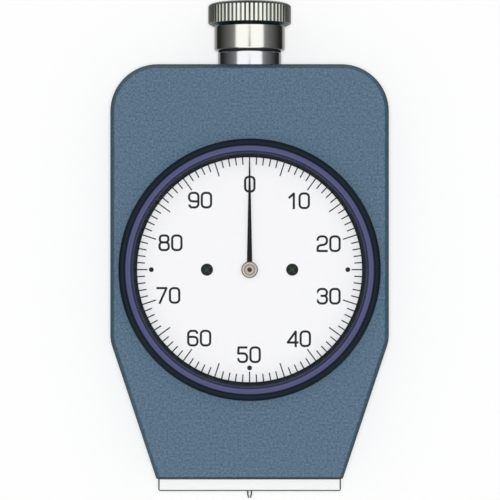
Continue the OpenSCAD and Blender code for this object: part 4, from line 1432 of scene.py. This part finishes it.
@dataclass
class Dial:
    """Dial with its print, needle, crystal and bezel."""

    face: float = 24.8
    ink_t: float = 0.03
    divisions: int = 100
    long_every: int = 5
    number_every: int = 10
    dot_every: int = 25
    tick_w: float = 0.29
    tick_in: float = 25.1
    tick_out: float = 26.95
    long_in: float = 23.5
    quarter_in: float = 24.4
    dot_r: float = 0.58
    dot_at: float = 23.5
    numerals: Numerals = Numerals()
    numeral_at: float = 20.25
    screw_x: float = 10.2
    screw_r: float = 1.45
    screw_h: float = 0.45
    # Distances in from the side and down from the top of a dial screw's round edge
    screw_edge: Profile = ((0.0, 0.2), (0.06, 0.08), (0.2, 0.0))
    shank_r: float = 0.7
    shank_low: float = 22.2
    cross_w: float = 0.24
    cross_h: float = 0.2
    cross_share: float = 0.72
    cross_turns: Point = (40.0, 130.0)
    worn_facing: float = 0.9
    worn_drop: float = 0.1
    crystal_r: float = 28.95
    crystal_low: float = 27.1
    crystal_high: float = 28.6
    crystal_edge: float = 0.12
    hub_low: float = 25.25
    hub_disc: float = 25.95
    hub_high: float = 26.55
    hub_r: float = 1.975
    hub_neck_r: float = 1.3
    hub_hole_r: float = 0.5
    hub_break: float = 0.05
    # Distances out and down of the hub's chamfer, the groove about its neck and the mouth of its hole
    hub_chamfer: Point = (-0.22, 0.3)
    hub_groove: Profile = ((0.08, 0.0), (-0.11, 0.22), (-0.3, 0.0))
    hub_mouth: Point = (0.1, 0.15)
    needle_low: float = 25.75
    needle_high: float = 25.95
    needle_root: float = 0.9
    needle_root_w: float = 1.3
    needle_tip: float = 25.7
    needle_tip_w: float = 0.3
    needle_edge: float = 0.05
    needle_ring_gap: float = 0.15
    bezel_steps: int = 192
    # Section of the bezel, from the skirt's inside round to the lip
    bezel_profile: Profile = (
        (29.05, 24.0), (30.9, 24.0), (31.2, 24.3), (31.2, 28.7), (31.14, 29.1), (30.95, 29.5),
        (30.67, 29.85), (30.35, 30.13), (29.97, 30.36), (29.65, 30.5), (29.6, 30.55), (29.6, 31.25),
        (29.55, 31.36), (29.45, 31.4), (28.3, 31.4), (28.2, 31.36), (28.15, 31.25), (28.15, 30.95),
        (27.95, 30.95), (26.79, 29.09), (26.76, 29.0), (26.76, 28.6), (29.05, 28.6),
    )
    # Colours of the bezel by radius: its own black and dark violet, with the violet band and the lighter
    # lines brightened as painted reflections
    bezel_rings: Rings = (
        (26.8, (8, 16, 21)), (27.1, (20, 30, 37)), (27.5, (38, 46, 56)), (27.85, (74, 80, 100)),
        (28.0, (50, 55, 80)), (28.2, (38, 43, 74)), (28.35, (90, 93, 130)), (28.75, (88, 91, 128)),
        (28.95, (78, 81, 118)), (29.2, (94, 97, 132)), (29.4, (60, 65, 92)), (29.6, (16, 22, 40)),
        (30.2, (38, 48, 57)), (30.7, (28, 40, 48)), (31.05, (8, 20, 30)), (31.2, (3, 14, 24)),
    )
    # Colours of the hub by radius: its own pale metal, with painted shade in the mouth of its hole, in the
    # groove about its neck and on its outer chamfer, where its steps meet
    hub_rings: Rings = (
        (0.5, (170, 160, 152)), (0.62, (206, 197, 190)), (1.02, (212, 203, 196)), (1.2, (190, 180, 171)),
        (1.3, (188, 178, 169)), (1.46, (222, 213, 205)), (1.66, (222, 213, 205)), (1.78, (128, 121, 112)),
        (1.975, (92, 87, 78)),
    )

    def angle(self, division: float) -> float:
        """Gives the turn from the top, clockwise, of a division."""
        return division * FULL_TURN / self.divisions

    def spot(self, division: float, radius: float) -> Vector:
        """Gives the place of a division on a circle."""
        turn = self.angle(division)
        return Vector((math.sin(turn), math.cos(turn))) * radius

    def quarters(self) -> range:
        """Gives the divisions that have a dot."""
        return range(self.dot_every, self.divisions, self.dot_every)

    def slab(self, name: str, inner: float, outer: float) -> Object:
        """Models one tick at the top of the dial.

        Args:
            name: Name of the object.
            inner: Radius of its inner end.
            outer: Radius of its outer end.

        Returns:
            The tick.
        """
        half_w, half_t = self.tick_w / 2, self.ink_t / 2
        return Bench.block(name, (-half_w, inner, self.face - half_t), (half_w, outer, self.face + half_t))

    def scale(self, name: str) -> Object:
        """Repeats a short tick at every division round the dial.

        Args:
            name: Name of the object.

        Returns:
            The ticks as one piece.
        """
        tick = self.slab(name, self.tick_in, self.tick_out)
        with Bench.editing(tick):
            bpy.ops.mesh.select_all(action="SELECT")
            bpy.ops.mesh.spin(
                steps=self.divisions, dupli=True, angle=FULL_TURN, center=(0, 0, 0), axis=Along.DIAL.value
            )
            bpy.ops.mesh.select_all(action="SELECT")
            bpy.ops.mesh.remove_doubles(threshold=MERGE)
        return tick

    def long_tick(self, division: int) -> Object:
        """Makes a division's tick longer; at a quarter of the scale it leaves room for the dot."""
        inner = self.quarter_in if division in self.quarters() else self.long_in
        return Bench.turn(self.slab("tick", inner, self.tick_in), DIAL_AXIS, -self.angle(division))

    def dot(self, division: int) -> Object:
        """Draws the dot at a quarter of the scale."""
        axis, half = DIAL_AXIS.moved(*self.spot(division, self.dot_at)), self.ink_t / 2
        return Bench.rod("dot", axis, self.dot_r, self.face - half, self.face + half)

    def number(self, value: int, nudge: Point) -> Object:
        """Draws one number upright at its place on the dial.

        Args:
            value: The number.
            nudge: Its small shift from the circle.

        Returns:
            The number as a flat mesh.
        """
        thickness = self.numerals.stroke
        runs = self.numerals.runs(str(value), self.spot(value, self.numeral_at) + Vector(nudge))
        obj = Bench.wire(f"number_{value}", runs, thickness)
        obj.scale = (1.0, 1.0, self.ink_t / thickness)
        obj.location = (0.0, 0.0, self.face * MM)
        Bench.apply()
        return obj

    def print_face(self) -> Object:
        """Draws the scale, its numbers and its dots as one thin layer of ink.

        Returns:
            The print.
        """
        scale = self.scale("dial_print")
        marks = [self.long_tick(division) for division in range(0, self.divisions, self.long_every)]
        marks.extend(self.dot(division) for division in self.quarters())
        values = range(0, self.divisions, self.number_every)
        marks.extend(self.number(value, nudge) for value, nudge in zip(values, self.numerals.nudges))
        Bench.join(scale, marks)
        with Bench.editing(scale):
            bpy.ops.mesh.select_all(action="SELECT")
            bpy.ops.mesh.normals_make_consistent(inside=False)
        return scale

    def screws(self) -> Object:
        """Models the two small screws of the dial, with crossed slots.

        Returns:
            The screws as one piece.
        """
        axis = DIAL_AXIS.moved(-self.screw_x)
        shank, low, r, top = self.shank_r, self.shank_low, self.screw_r, self.face + self.screw_h
        profile = [
            (0.0, low), (shank, low), (shank, self.face), (r, self.face),
            *((r - inward, top - drop) for inward, drop in self.screw_edge), (0.0, top),
        ]
        screw = Bench.turned("dial_screw_pair", axis, profile, SMALL_STEPS)
        reach, half_w, floor = r * self.cross_share, self.cross_w / 2, top - self.cross_h
        for turn in self.cross_turns:
            low, high = (axis.x - reach, -half_w, floor), (axis.x + reach, half_w, floor + OVERCUT)
            Bench.carve(screw, [Bench.turn(Bench.block("slot", low, high), axis, math.radians(turn))])
        return Bench.copy_to(screw, [(2 * self.screw_x, 0.0, 0.0)])

    def worn(self, face: Face) -> bool:
        """Says whether a face of a dial screw is the floor of its slots."""
        level = face.center.z / MM - self.face
        return face.normal.z > self.worn_facing and 0.0 < level < self.screw_h - self.worn_drop

    def crystal(self) -> Object:
        """Turns the flat crystal with its broken edges.

        Returns:
            The crystal.
        """
        low, high = self.crystal_low, self.crystal_high
        profile = washer_profile(0.0, self.crystal_r, low, high, self.crystal_edge)
        return Bench.turned("window_glass", DIAL_AXIS, profile, LARGE_STEPS)

    def needle(self) -> Object:
        """Models the needle: a thin bar drawn to a narrow tip, with its top edges broken.

        Returns:
            The needle.
        """
        half, low, high, tip = self.needle_root_w / 2, self.needle_low, self.needle_high, self.needle_tip
        needle = Bench.block("needle_blade", (-half, self.needle_root, low), (half, tip, high))
        with Bench.editing(needle):
            Bench.pick(needle, "verts", lambda vert: vert.co.y > (tip - NEAR) * MM)
            bpy.ops.transform.resize(
                value=(self.needle_tip_w / self.needle_root_w, 1.0, 1.0),
                center_override=Vector((0.0, tip, high)) * MM,
            )
        Bench.round_edges(needle, level_edge(high), self.needle_edge, segments=2)
        Bench.carve(needle, [Bench.rod("hole", DIAL_AXIS, self.hub_neck_r, low - OVERCUT, high + OVERCUT)])
        inner, outer = self.hub_neck_r, self.hub_r - self.needle_ring_gap
        section = [(inner, low), (outer, low), (outer, high), (inner, high)]
        return Bench.carve(needle, [Bench.turned("ring", DIAL_AXIS, section, SMALL_STEPS)], "UNION")

    def hub(self) -> Object:
        """Turns the needle's hub with its steps.

        Returns:
            The hub.
        """
        low, disc, top = self.hub_low, self.hub_disc, self.hub_high
        r, neck, hole, edge = self.hub_r, self.hub_neck_r, self.hub_hole_r, self.hub_break
        profile = [
            (hole, low), (neck, low), (neck, disc), (r - edge, disc), (r, disc + edge),
            (r, top - self.hub_chamfer[1]), (r + self.hub_chamfer[0], top),
            *((neck + out, top - drop) for out, drop in self.hub_groove),
            (hole + self.hub_mouth[0], top), (hole, top - self.hub_mouth[1]),
        ]
        return Bench.turned("needle_hub", DIAL_AXIS, profile, MIDDLE_STEPS)

    def build(self, shop: Workshop) -> None:
        """Models and dresses the dial.

        Args:
            shop: The nodes and finishes.
        """
        finishes = shop.finishes
        shop.coat(["dial_plate"], DIAL_WHITE)
        shop.coat(["crystal_gasket"], SEAL_RUBBER)
        ink = self.print_face()
        shop.finish(ink, "needle_black", DIAL_INK)
        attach(ink, "case")
        bezel = Bench.turned("bezel_ring", DIAL_AXIS, self.bezel_profile, self.bezel_steps)
        # The bezel's rings carry painted reflections on its own black
        bezel_painted_reflections = finishes.ringed(BEZEL_BLACK, self.bezel_rings, DIAL_AXIS)
        shop.dress(bezel, "bezel", "case", "bezel_black", bezel_painted_reflections)
        screws = shop.dress(self.screws(), "dial_screws", "case", "black_oxide", BLACK_OXIDE)
        # The floors of the crossed slots get the lighter oxide
        shop.touch_up(screws, (SLOT_FLOOR_OXIDE,), self.worn)
        shop.dress(self.crystal(), "crystal", "case", "clear_window", finishes.glass("clear_window"))
        shop.dress(self.needle(), "pointer", "needle", "needle_black", NEEDLE_BLACK)
        # The hub's rings carry painted shade in its hole's mouth, its groove and on its chamfer
        steps = finishes.ringed(HUB_METAL, self.hub_rings, DIAL_AXIS)
        shop.dress(self.hub(), "pointer_hub", "needle", "hub_metal", steps)


@dataclass
class Cap:
    """Stem on top of the case, with the knob and its washer."""

    flutes: int = 56
    flute_steps: int = 8
    flute_w: float = 0.62
    flute_depth: float = 0.22
    sleeve_r: float = 8.6
    collar_r: float = 10.1
    collar_low: float = 59.15
    slope: float = 0.85
    edge: float = 0.9
    rim_w: float = 1.5
    rim_facing: float = 0.2
    low: float = 53.4
    top: float = 65.1
    dish_r: float = 5.6
    dish_edge: float = 0.2
    dish_h: float = 0.1
    bore_r: float = 6.3
    bore_top: float = 62.5
    washer_r: float = 7.65
    washer_edge: float = 0.12
    neck_top: float = 52.9
    # Distances in from the collar and down from the top of the knob's round upper edge
    crown: Profile = ((2.7, 0.0), (1.5, 0.12), (0.8, 0.3), (0.25, 0.6))
    # Distances in from the collar and down from the head of the slope below it
    slope_bend: Point = (0.4, 0.25)
    # Distances in from the sleeve and up from the low end of the sleeve's round edge
    skirt: Profile = ((0.0, 0.4), (0.1, 0.15), (0.4, 0.0))
    # Section of the hollow stem, from the foot of its bore
    stem_profile: Profile = (
        (4.8, 36.6), (5.7, 36.6), (6.0, 36.9), (6.0, 49.4), (7.65, 49.4), (7.75, 49.5), (7.75, 52.6),
        (7.66, 52.81), (7.45, 52.9), (6.25, 52.9), (6.25, 60.8), (5.95, 61.1), (4.8, 61.1),
    )
    # Multipliers of the knob's colour: bright leaves it as it is, dim and dark are painted shade
    bright: Shade = (255, 255, 255)
    dim: Shade = (168, 176, 170)
    dark: Shade = (74, 88, 82)
    # Width over which the painted shade on the slope sets in, and the painted shades by the distance in
    # from the collar
    shade_w: float = 0.12
    flute_shades: Rings = ((0.4, dark), (0.22, dim), (0.12, dim), (0.05, bright))

    def fluted(self, radius: float, turn: float) -> float:
        """Gives the radius that the V-shaped flutes leave at a turn about the axis.

        Args:
            radius: Radius of the plain collar there.
            turn: Turn about the axis.

        Returns:
            The smaller of the two radii.
        """
        step = FULL_TURN / self.flutes
        off = (turn + step / 2) % step - step / 2
        share = 1 - abs(self.collar_r * math.sin(off)) / (self.flute_w / 2)
        return min(radius, self.collar_r - self.flute_depth * max(share, 0.0))

    def profile(self) -> Profile:
        """Gives the knob's section, from the middle of its top round to the bore.

        Returns:
            Radius and height of each corner.
        """
        top, low, collar, sleeve = self.top, self.low, self.collar_r, self.sleeve_r
        slope_top = self.collar_low + self.slope
        bend_in, bend_drop = self.slope_bend
        return [
            (0.0, top - self.dish_h), (self.dish_r, top - self.dish_h), (self.dish_r + self.dish_edge, top),
            *((collar - inward, top - drop) for inward, drop in self.crown),
            (collar, top - self.edge), (collar, slope_top), (collar - bend_in, slope_top - bend_drop),
            (sleeve, self.collar_low), *((sleeve - inward, low + rise) for inward, rise in self.skirt),
            (self.bore_r, low), (self.bore_r, self.bore_top), (0.0, self.bore_top),
        ]

    def knob(self) -> Object:
        """Turns the knob and presses the flutes into its collar.

        Returns:
            The knob.
        """
        knob = Bench.turned("cap_knob", SPINDLE_AXIS, self.profile(), self.flutes * self.flute_steps)
        with Bench.editing(knob):
            for vert in bmesh.from_edit_mesh(knob.data).verts:
                across, up = vert.co.x / MM, vert.co.z / MM - SPINDLE_Z
                radius = math.hypot(across, up)
                if radius > self.sleeve_r + NEAR:
                    share = self.fluted(radius, math.atan2(up, across)) / radius
                    vert.co.x *= share
                    vert.co.z = (SPINDLE_Z + up * share) * MM
            bmesh.update_edit_mesh(knob.data)
        return knob

    def knob_rings(self) -> Rings:
        """Gives the knob's painted shade by radius: dark on the slope below the flutes, and dim in them."""
        slope = [(self.sleeve_r, self.bright), (self.sleeve_r + self.shade_w, self.dark)]
        return slope + [(self.collar_r - inward, shade) for inward, shade in self.flute_shades]

    def rim(self, face: Face) -> bool:
        """Says whether a face of the knob lies on its round upper edge, which gets a dark copy of the
        chrome as painted shade.

        Args:
            face: Face of the knob.

        Returns:
            Whether it is far out, near the top and turned upward.
        """
        across, height, up = face.center / MM
        outer = math.hypot(across, up - SPINDLE_Z) > self.collar_r - self.rim_w
        return outer and height > self.top - self.edge and face.normal.y > self.rim_facing

    def washer(self) -> Object:
        """Turns the washer under the knob."""
        profile = washer_profile(self.bore_r, self.washer_r, self.neck_top, self.low, self.washer_edge)
        return Bench.turned("cap_washer", SPINDLE_AXIS, profile, MIDDLE_STEPS)

    def build(self, shop: Workshop) -> None:
        """Models and dresses the stem and the knob.

        Args:
            shop: The nodes and finishes.
        """
        stem = Bench.turned("neck_stem", SPINDLE_AXIS, self.stem_profile, LARGE_STEPS)
        shop.dress(stem, "stem", "case", "chrome_plate", NECK_PLATE)
        # Painted shade on the slope under the collar and in the flutes
        plating_with_painted_shade = shop.finishes.ringed(KNOB_PLATE, self.knob_rings(), SPINDLE_AXIS)
        knob = shop.dress(self.knob(), "knob", "knob_cap", "chrome_plate", plating_with_painted_shade)
        # The round upper edge gets the dark chrome as painted shade
        shop.touch_up(knob, (RIM_PAINTED_SHADE,), self.rim)
        shop.dress(self.washer(), "knob_washer", "knob_seal", "seal_rubber", SEAL_RUBBER)


@dataclass
class Movement:
    """Works inside the case, which keep their CAD shapes apart from the main spring."""

    brass: tuple[str, ...] = (
        "dial_posts", "main_plate", "front_plate", "movement_pillars", "pinion_bridge", "hairspring_stud",
        "rack_wheel", "takeup_wheel", "hairspring_collet", "spring_adjuster",
    )
    bronze: tuple[str, ...] = ("lower_bush", "upper_bush")
    screws: tuple[str, ...] = ("plate_screws", "pillar_screws", "guide_screws", "stem_nut", "guide_block")
    arbors: tuple[str, ...] = ("rack_arbor", "pointer_arbor", "takeup_arbor")
    rods: tuple[str, ...] = ("spindle", "guide_pin")
    spring_r: float = 3.5
    spring_low: float = 41.6
    spring_high: float = 51.6
    spring_wire: float = 0.8
    spring_coils: int = 6
    coil_steps: int = 24

    def spring(self, shop: Workshop) -> None:
        """Winds the main spring in place of its CAD node.

        Args:
            shop: The nodes and finishes.
        """
        count = self.spring_coils * self.coil_steps
        rise = self.spring_high - self.spring_low - self.spring_wire
        points = []
        for index in range(count + 1):
            turn = index * FULL_TURN / self.coil_steps
            height = self.spring_low + self.spring_wire / 2 + rise * index / count
            across = Vector((math.cos(turn), 0.0, math.sin(turn))) * self.spring_r
            points.append(across + Vector((0.0, height, SPINDLE_Z)))
        coil = Bench.wire("coil_spring", [(points, False)], self.spring_wire)
        shop.finish(coil, "spring_steel", SPRING_STEEL)
        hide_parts("main_spring")
        ends = [SPINDLE_AXIS.place(0.0, height) for height in (self.spring_high, self.spring_low)]
        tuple(ends[0])
        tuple(ends[1])
        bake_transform(coil)

    def build(self, shop: Workshop) -> None:
        """Dresses the works.

        Args:
            shop: The nodes and finishes.
        """
        self.spring(shop)
        shop.coat(self.brass, MOVEMENT_BRASS)
        shop.coat(self.bronze, GUIDE_BRONZE)
        shop.coat(self.screws, SCREW_STEEL)
        shop.coat(self.arbors, ARBOR_STEEL)
        shop.coat(self.rods, SPINDLE_STEEL)
        shop.coat(["hairspring"], BLUED_STEEL)


@dataclass
class Studio:
    """Floor, soft light and camera."""

    floor_half: float = 6.0
    floor_gap: float = 0.02
    floor_glow: float = 0.45
    floor_shade: float = 0.55
    floor_rough: float = 0.9
    eye_x: float = 0.1
    eye_y: float = 4.7
    eye_z: float = 624.0
    lens: float = 180.2
    sensor: float = 36.0
    clip: Point = (0.01, 100.0)
    fill: float = 0.64
    gleam: float = 1.02
    card: float = 0.7
    card_side: Point = (0.25, 0.6)
    card_drop: Point = (0.0, -0.15)
    lamp_z: float = 720.0
    lamp_d: float = 80.0
    lamp_watts: float = 3.15
    # Light by angle from straight up, as degrees and shares of the strength
    sky: Profile = (
        (0.0, 0.2), (3.6, 0.2), (5.5, 1.0), (44.0, 1.0), (49.0, 0.22), (65.0, 0.135), (98.0, 0.045),
        (112.0, 0.02), (132.0, 0.01), (142.0, 0.3), (180.0, 0.45),
    )

    def world(self) -> None:
        """Lights the scene with a soft dome, white behind the part, and the floor that its ends mirror."""
        world = bpy.data.worlds.new("studio")
        bpy.context.scene.world = world
        world.use_nodes = True
        nodes = Nodes(world.node_tree)
        _, y, z = nodes.add("SeparateXYZ", {0: nodes.place("Generated")}).outputs
        fall = nodes.math("DIVIDE", nodes.math("ARCCOSINE", z), math.pi)
        stops = [(degrees / 180, (light, light, light, 1.0)) for degrees, light in self.sky]
        dome = nodes.ramp(fall, stops)
        ray = nodes.add("LightPath").outputs
        card = nodes.span(nodes.math("ABSOLUTE", y), self.card_side, (0.0, self.card))
        lying = nodes.math("MULTIPLY", card, nodes.span(z, self.card_drop))
        mirrored = nodes.math("MULTIPLY", lying, ray["Is Glossy Ray"])
        white = nodes.math("MAXIMUM", ray["Is Camera Ray"], mirrored)
        seen = nodes.math("MAXIMUM", ray["Is Camera Ray"], ray["Is Glossy Ray"])
        extra = nodes.math("MULTIPLY", seen, self.gleam - self.fill)
        nodes.feed(world.node_tree.nodes["Background"], {
            "Strength": nodes.math("ADD", extra, self.fill),
            "Color": nodes.blend(white, dome, WHITE),
        })

    def floor(self, finishes: Finishes) -> None:
        """Lays a plain white floor under the part, which is clear when seen from below.

        Args:
            finishes: The finishes.
        """
        Bench.clear()
        under = (0.0, 0.0, -self.floor_gap * MM)
        bpy.ops.mesh.primitive_plane_add(size=2 * self.floor_half, location=under)
        floor = bpy.context.object
        floor.name = "floor"
        material, nodes, shader = finishes.plain("floor_white")
        nodes.feed(shader, {
            "Base Color": (self.floor_shade, self.floor_shade, self.floor_shade, 1.0),
            "Roughness": self.floor_rough,
            "Specular IOR Level": 0.0,
            "Emission Color": WHITE,
            "Emission Strength": self.floor_glow,
        })
        nodes.let_through(shader, nodes.add("NewGeometry").outputs["Backfacing"])
        floor.data.materials.append(material)
        floor.visible_glossy = False

    def lamp(self) -> None:
        """Hangs a soft lamp over the camera; it isn't mirrored in glass or metal."""
        Bench.clear()
        bpy.ops.object.light_add(type="AREA", location=Vector((self.eye_x, self.eye_y, self.lamp_z)) * MM)
        lamp = bpy.context.object
        lamp.name = "lamp"
        lamp.data.shape = "DISK"
        lamp.data.size = self.lamp_d * MM
        lamp.data.energy = self.lamp_watts
        lamp.visible_glossy = False
        lamp.visible_transmission = False

    def camera(self) -> None:
        """Sets the camera straight above the dial."""
        lens = bpy.data.cameras.new("camera")
        lens.lens = self.lens
        lens.sensor_width = self.sensor
        lens.clip_start, lens.clip_end = self.clip
        camera = bpy.data.objects.new("camera", lens)
        camera.location = Vector((self.eye_x, self.eye_y, self.eye_z)) * MM
        bpy.context.scene.collection.objects.link(camera)
        bpy.context.scene.camera = camera

    def build(self, finishes: Finishes) -> None:
        """Sets up the studio.

        Args:
            finishes: The finishes.
        """
        bpy.context.scene.view_settings.view_transform = "Standard"
        self.world()
        self.floor(finishes)
        self.lamp()
        self.camera()


def main() -> None:
    """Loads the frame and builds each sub-assembly in order."""
    logging.basicConfig(level=logging.INFO, format="%(name)s: %(message)s")
    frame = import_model()
    Bench.clear()
    shop = Workshop(frame["nodes"], Finishes())
    Studio().build(shop.finishes)
    for assembly in (Case(), Foot(), Dial(), Cap(), Movement()):
        assembly.build(shop)
        LOG.info("%s is done", type(assembly).__name__)


if __name__ == "__main__":
    main()
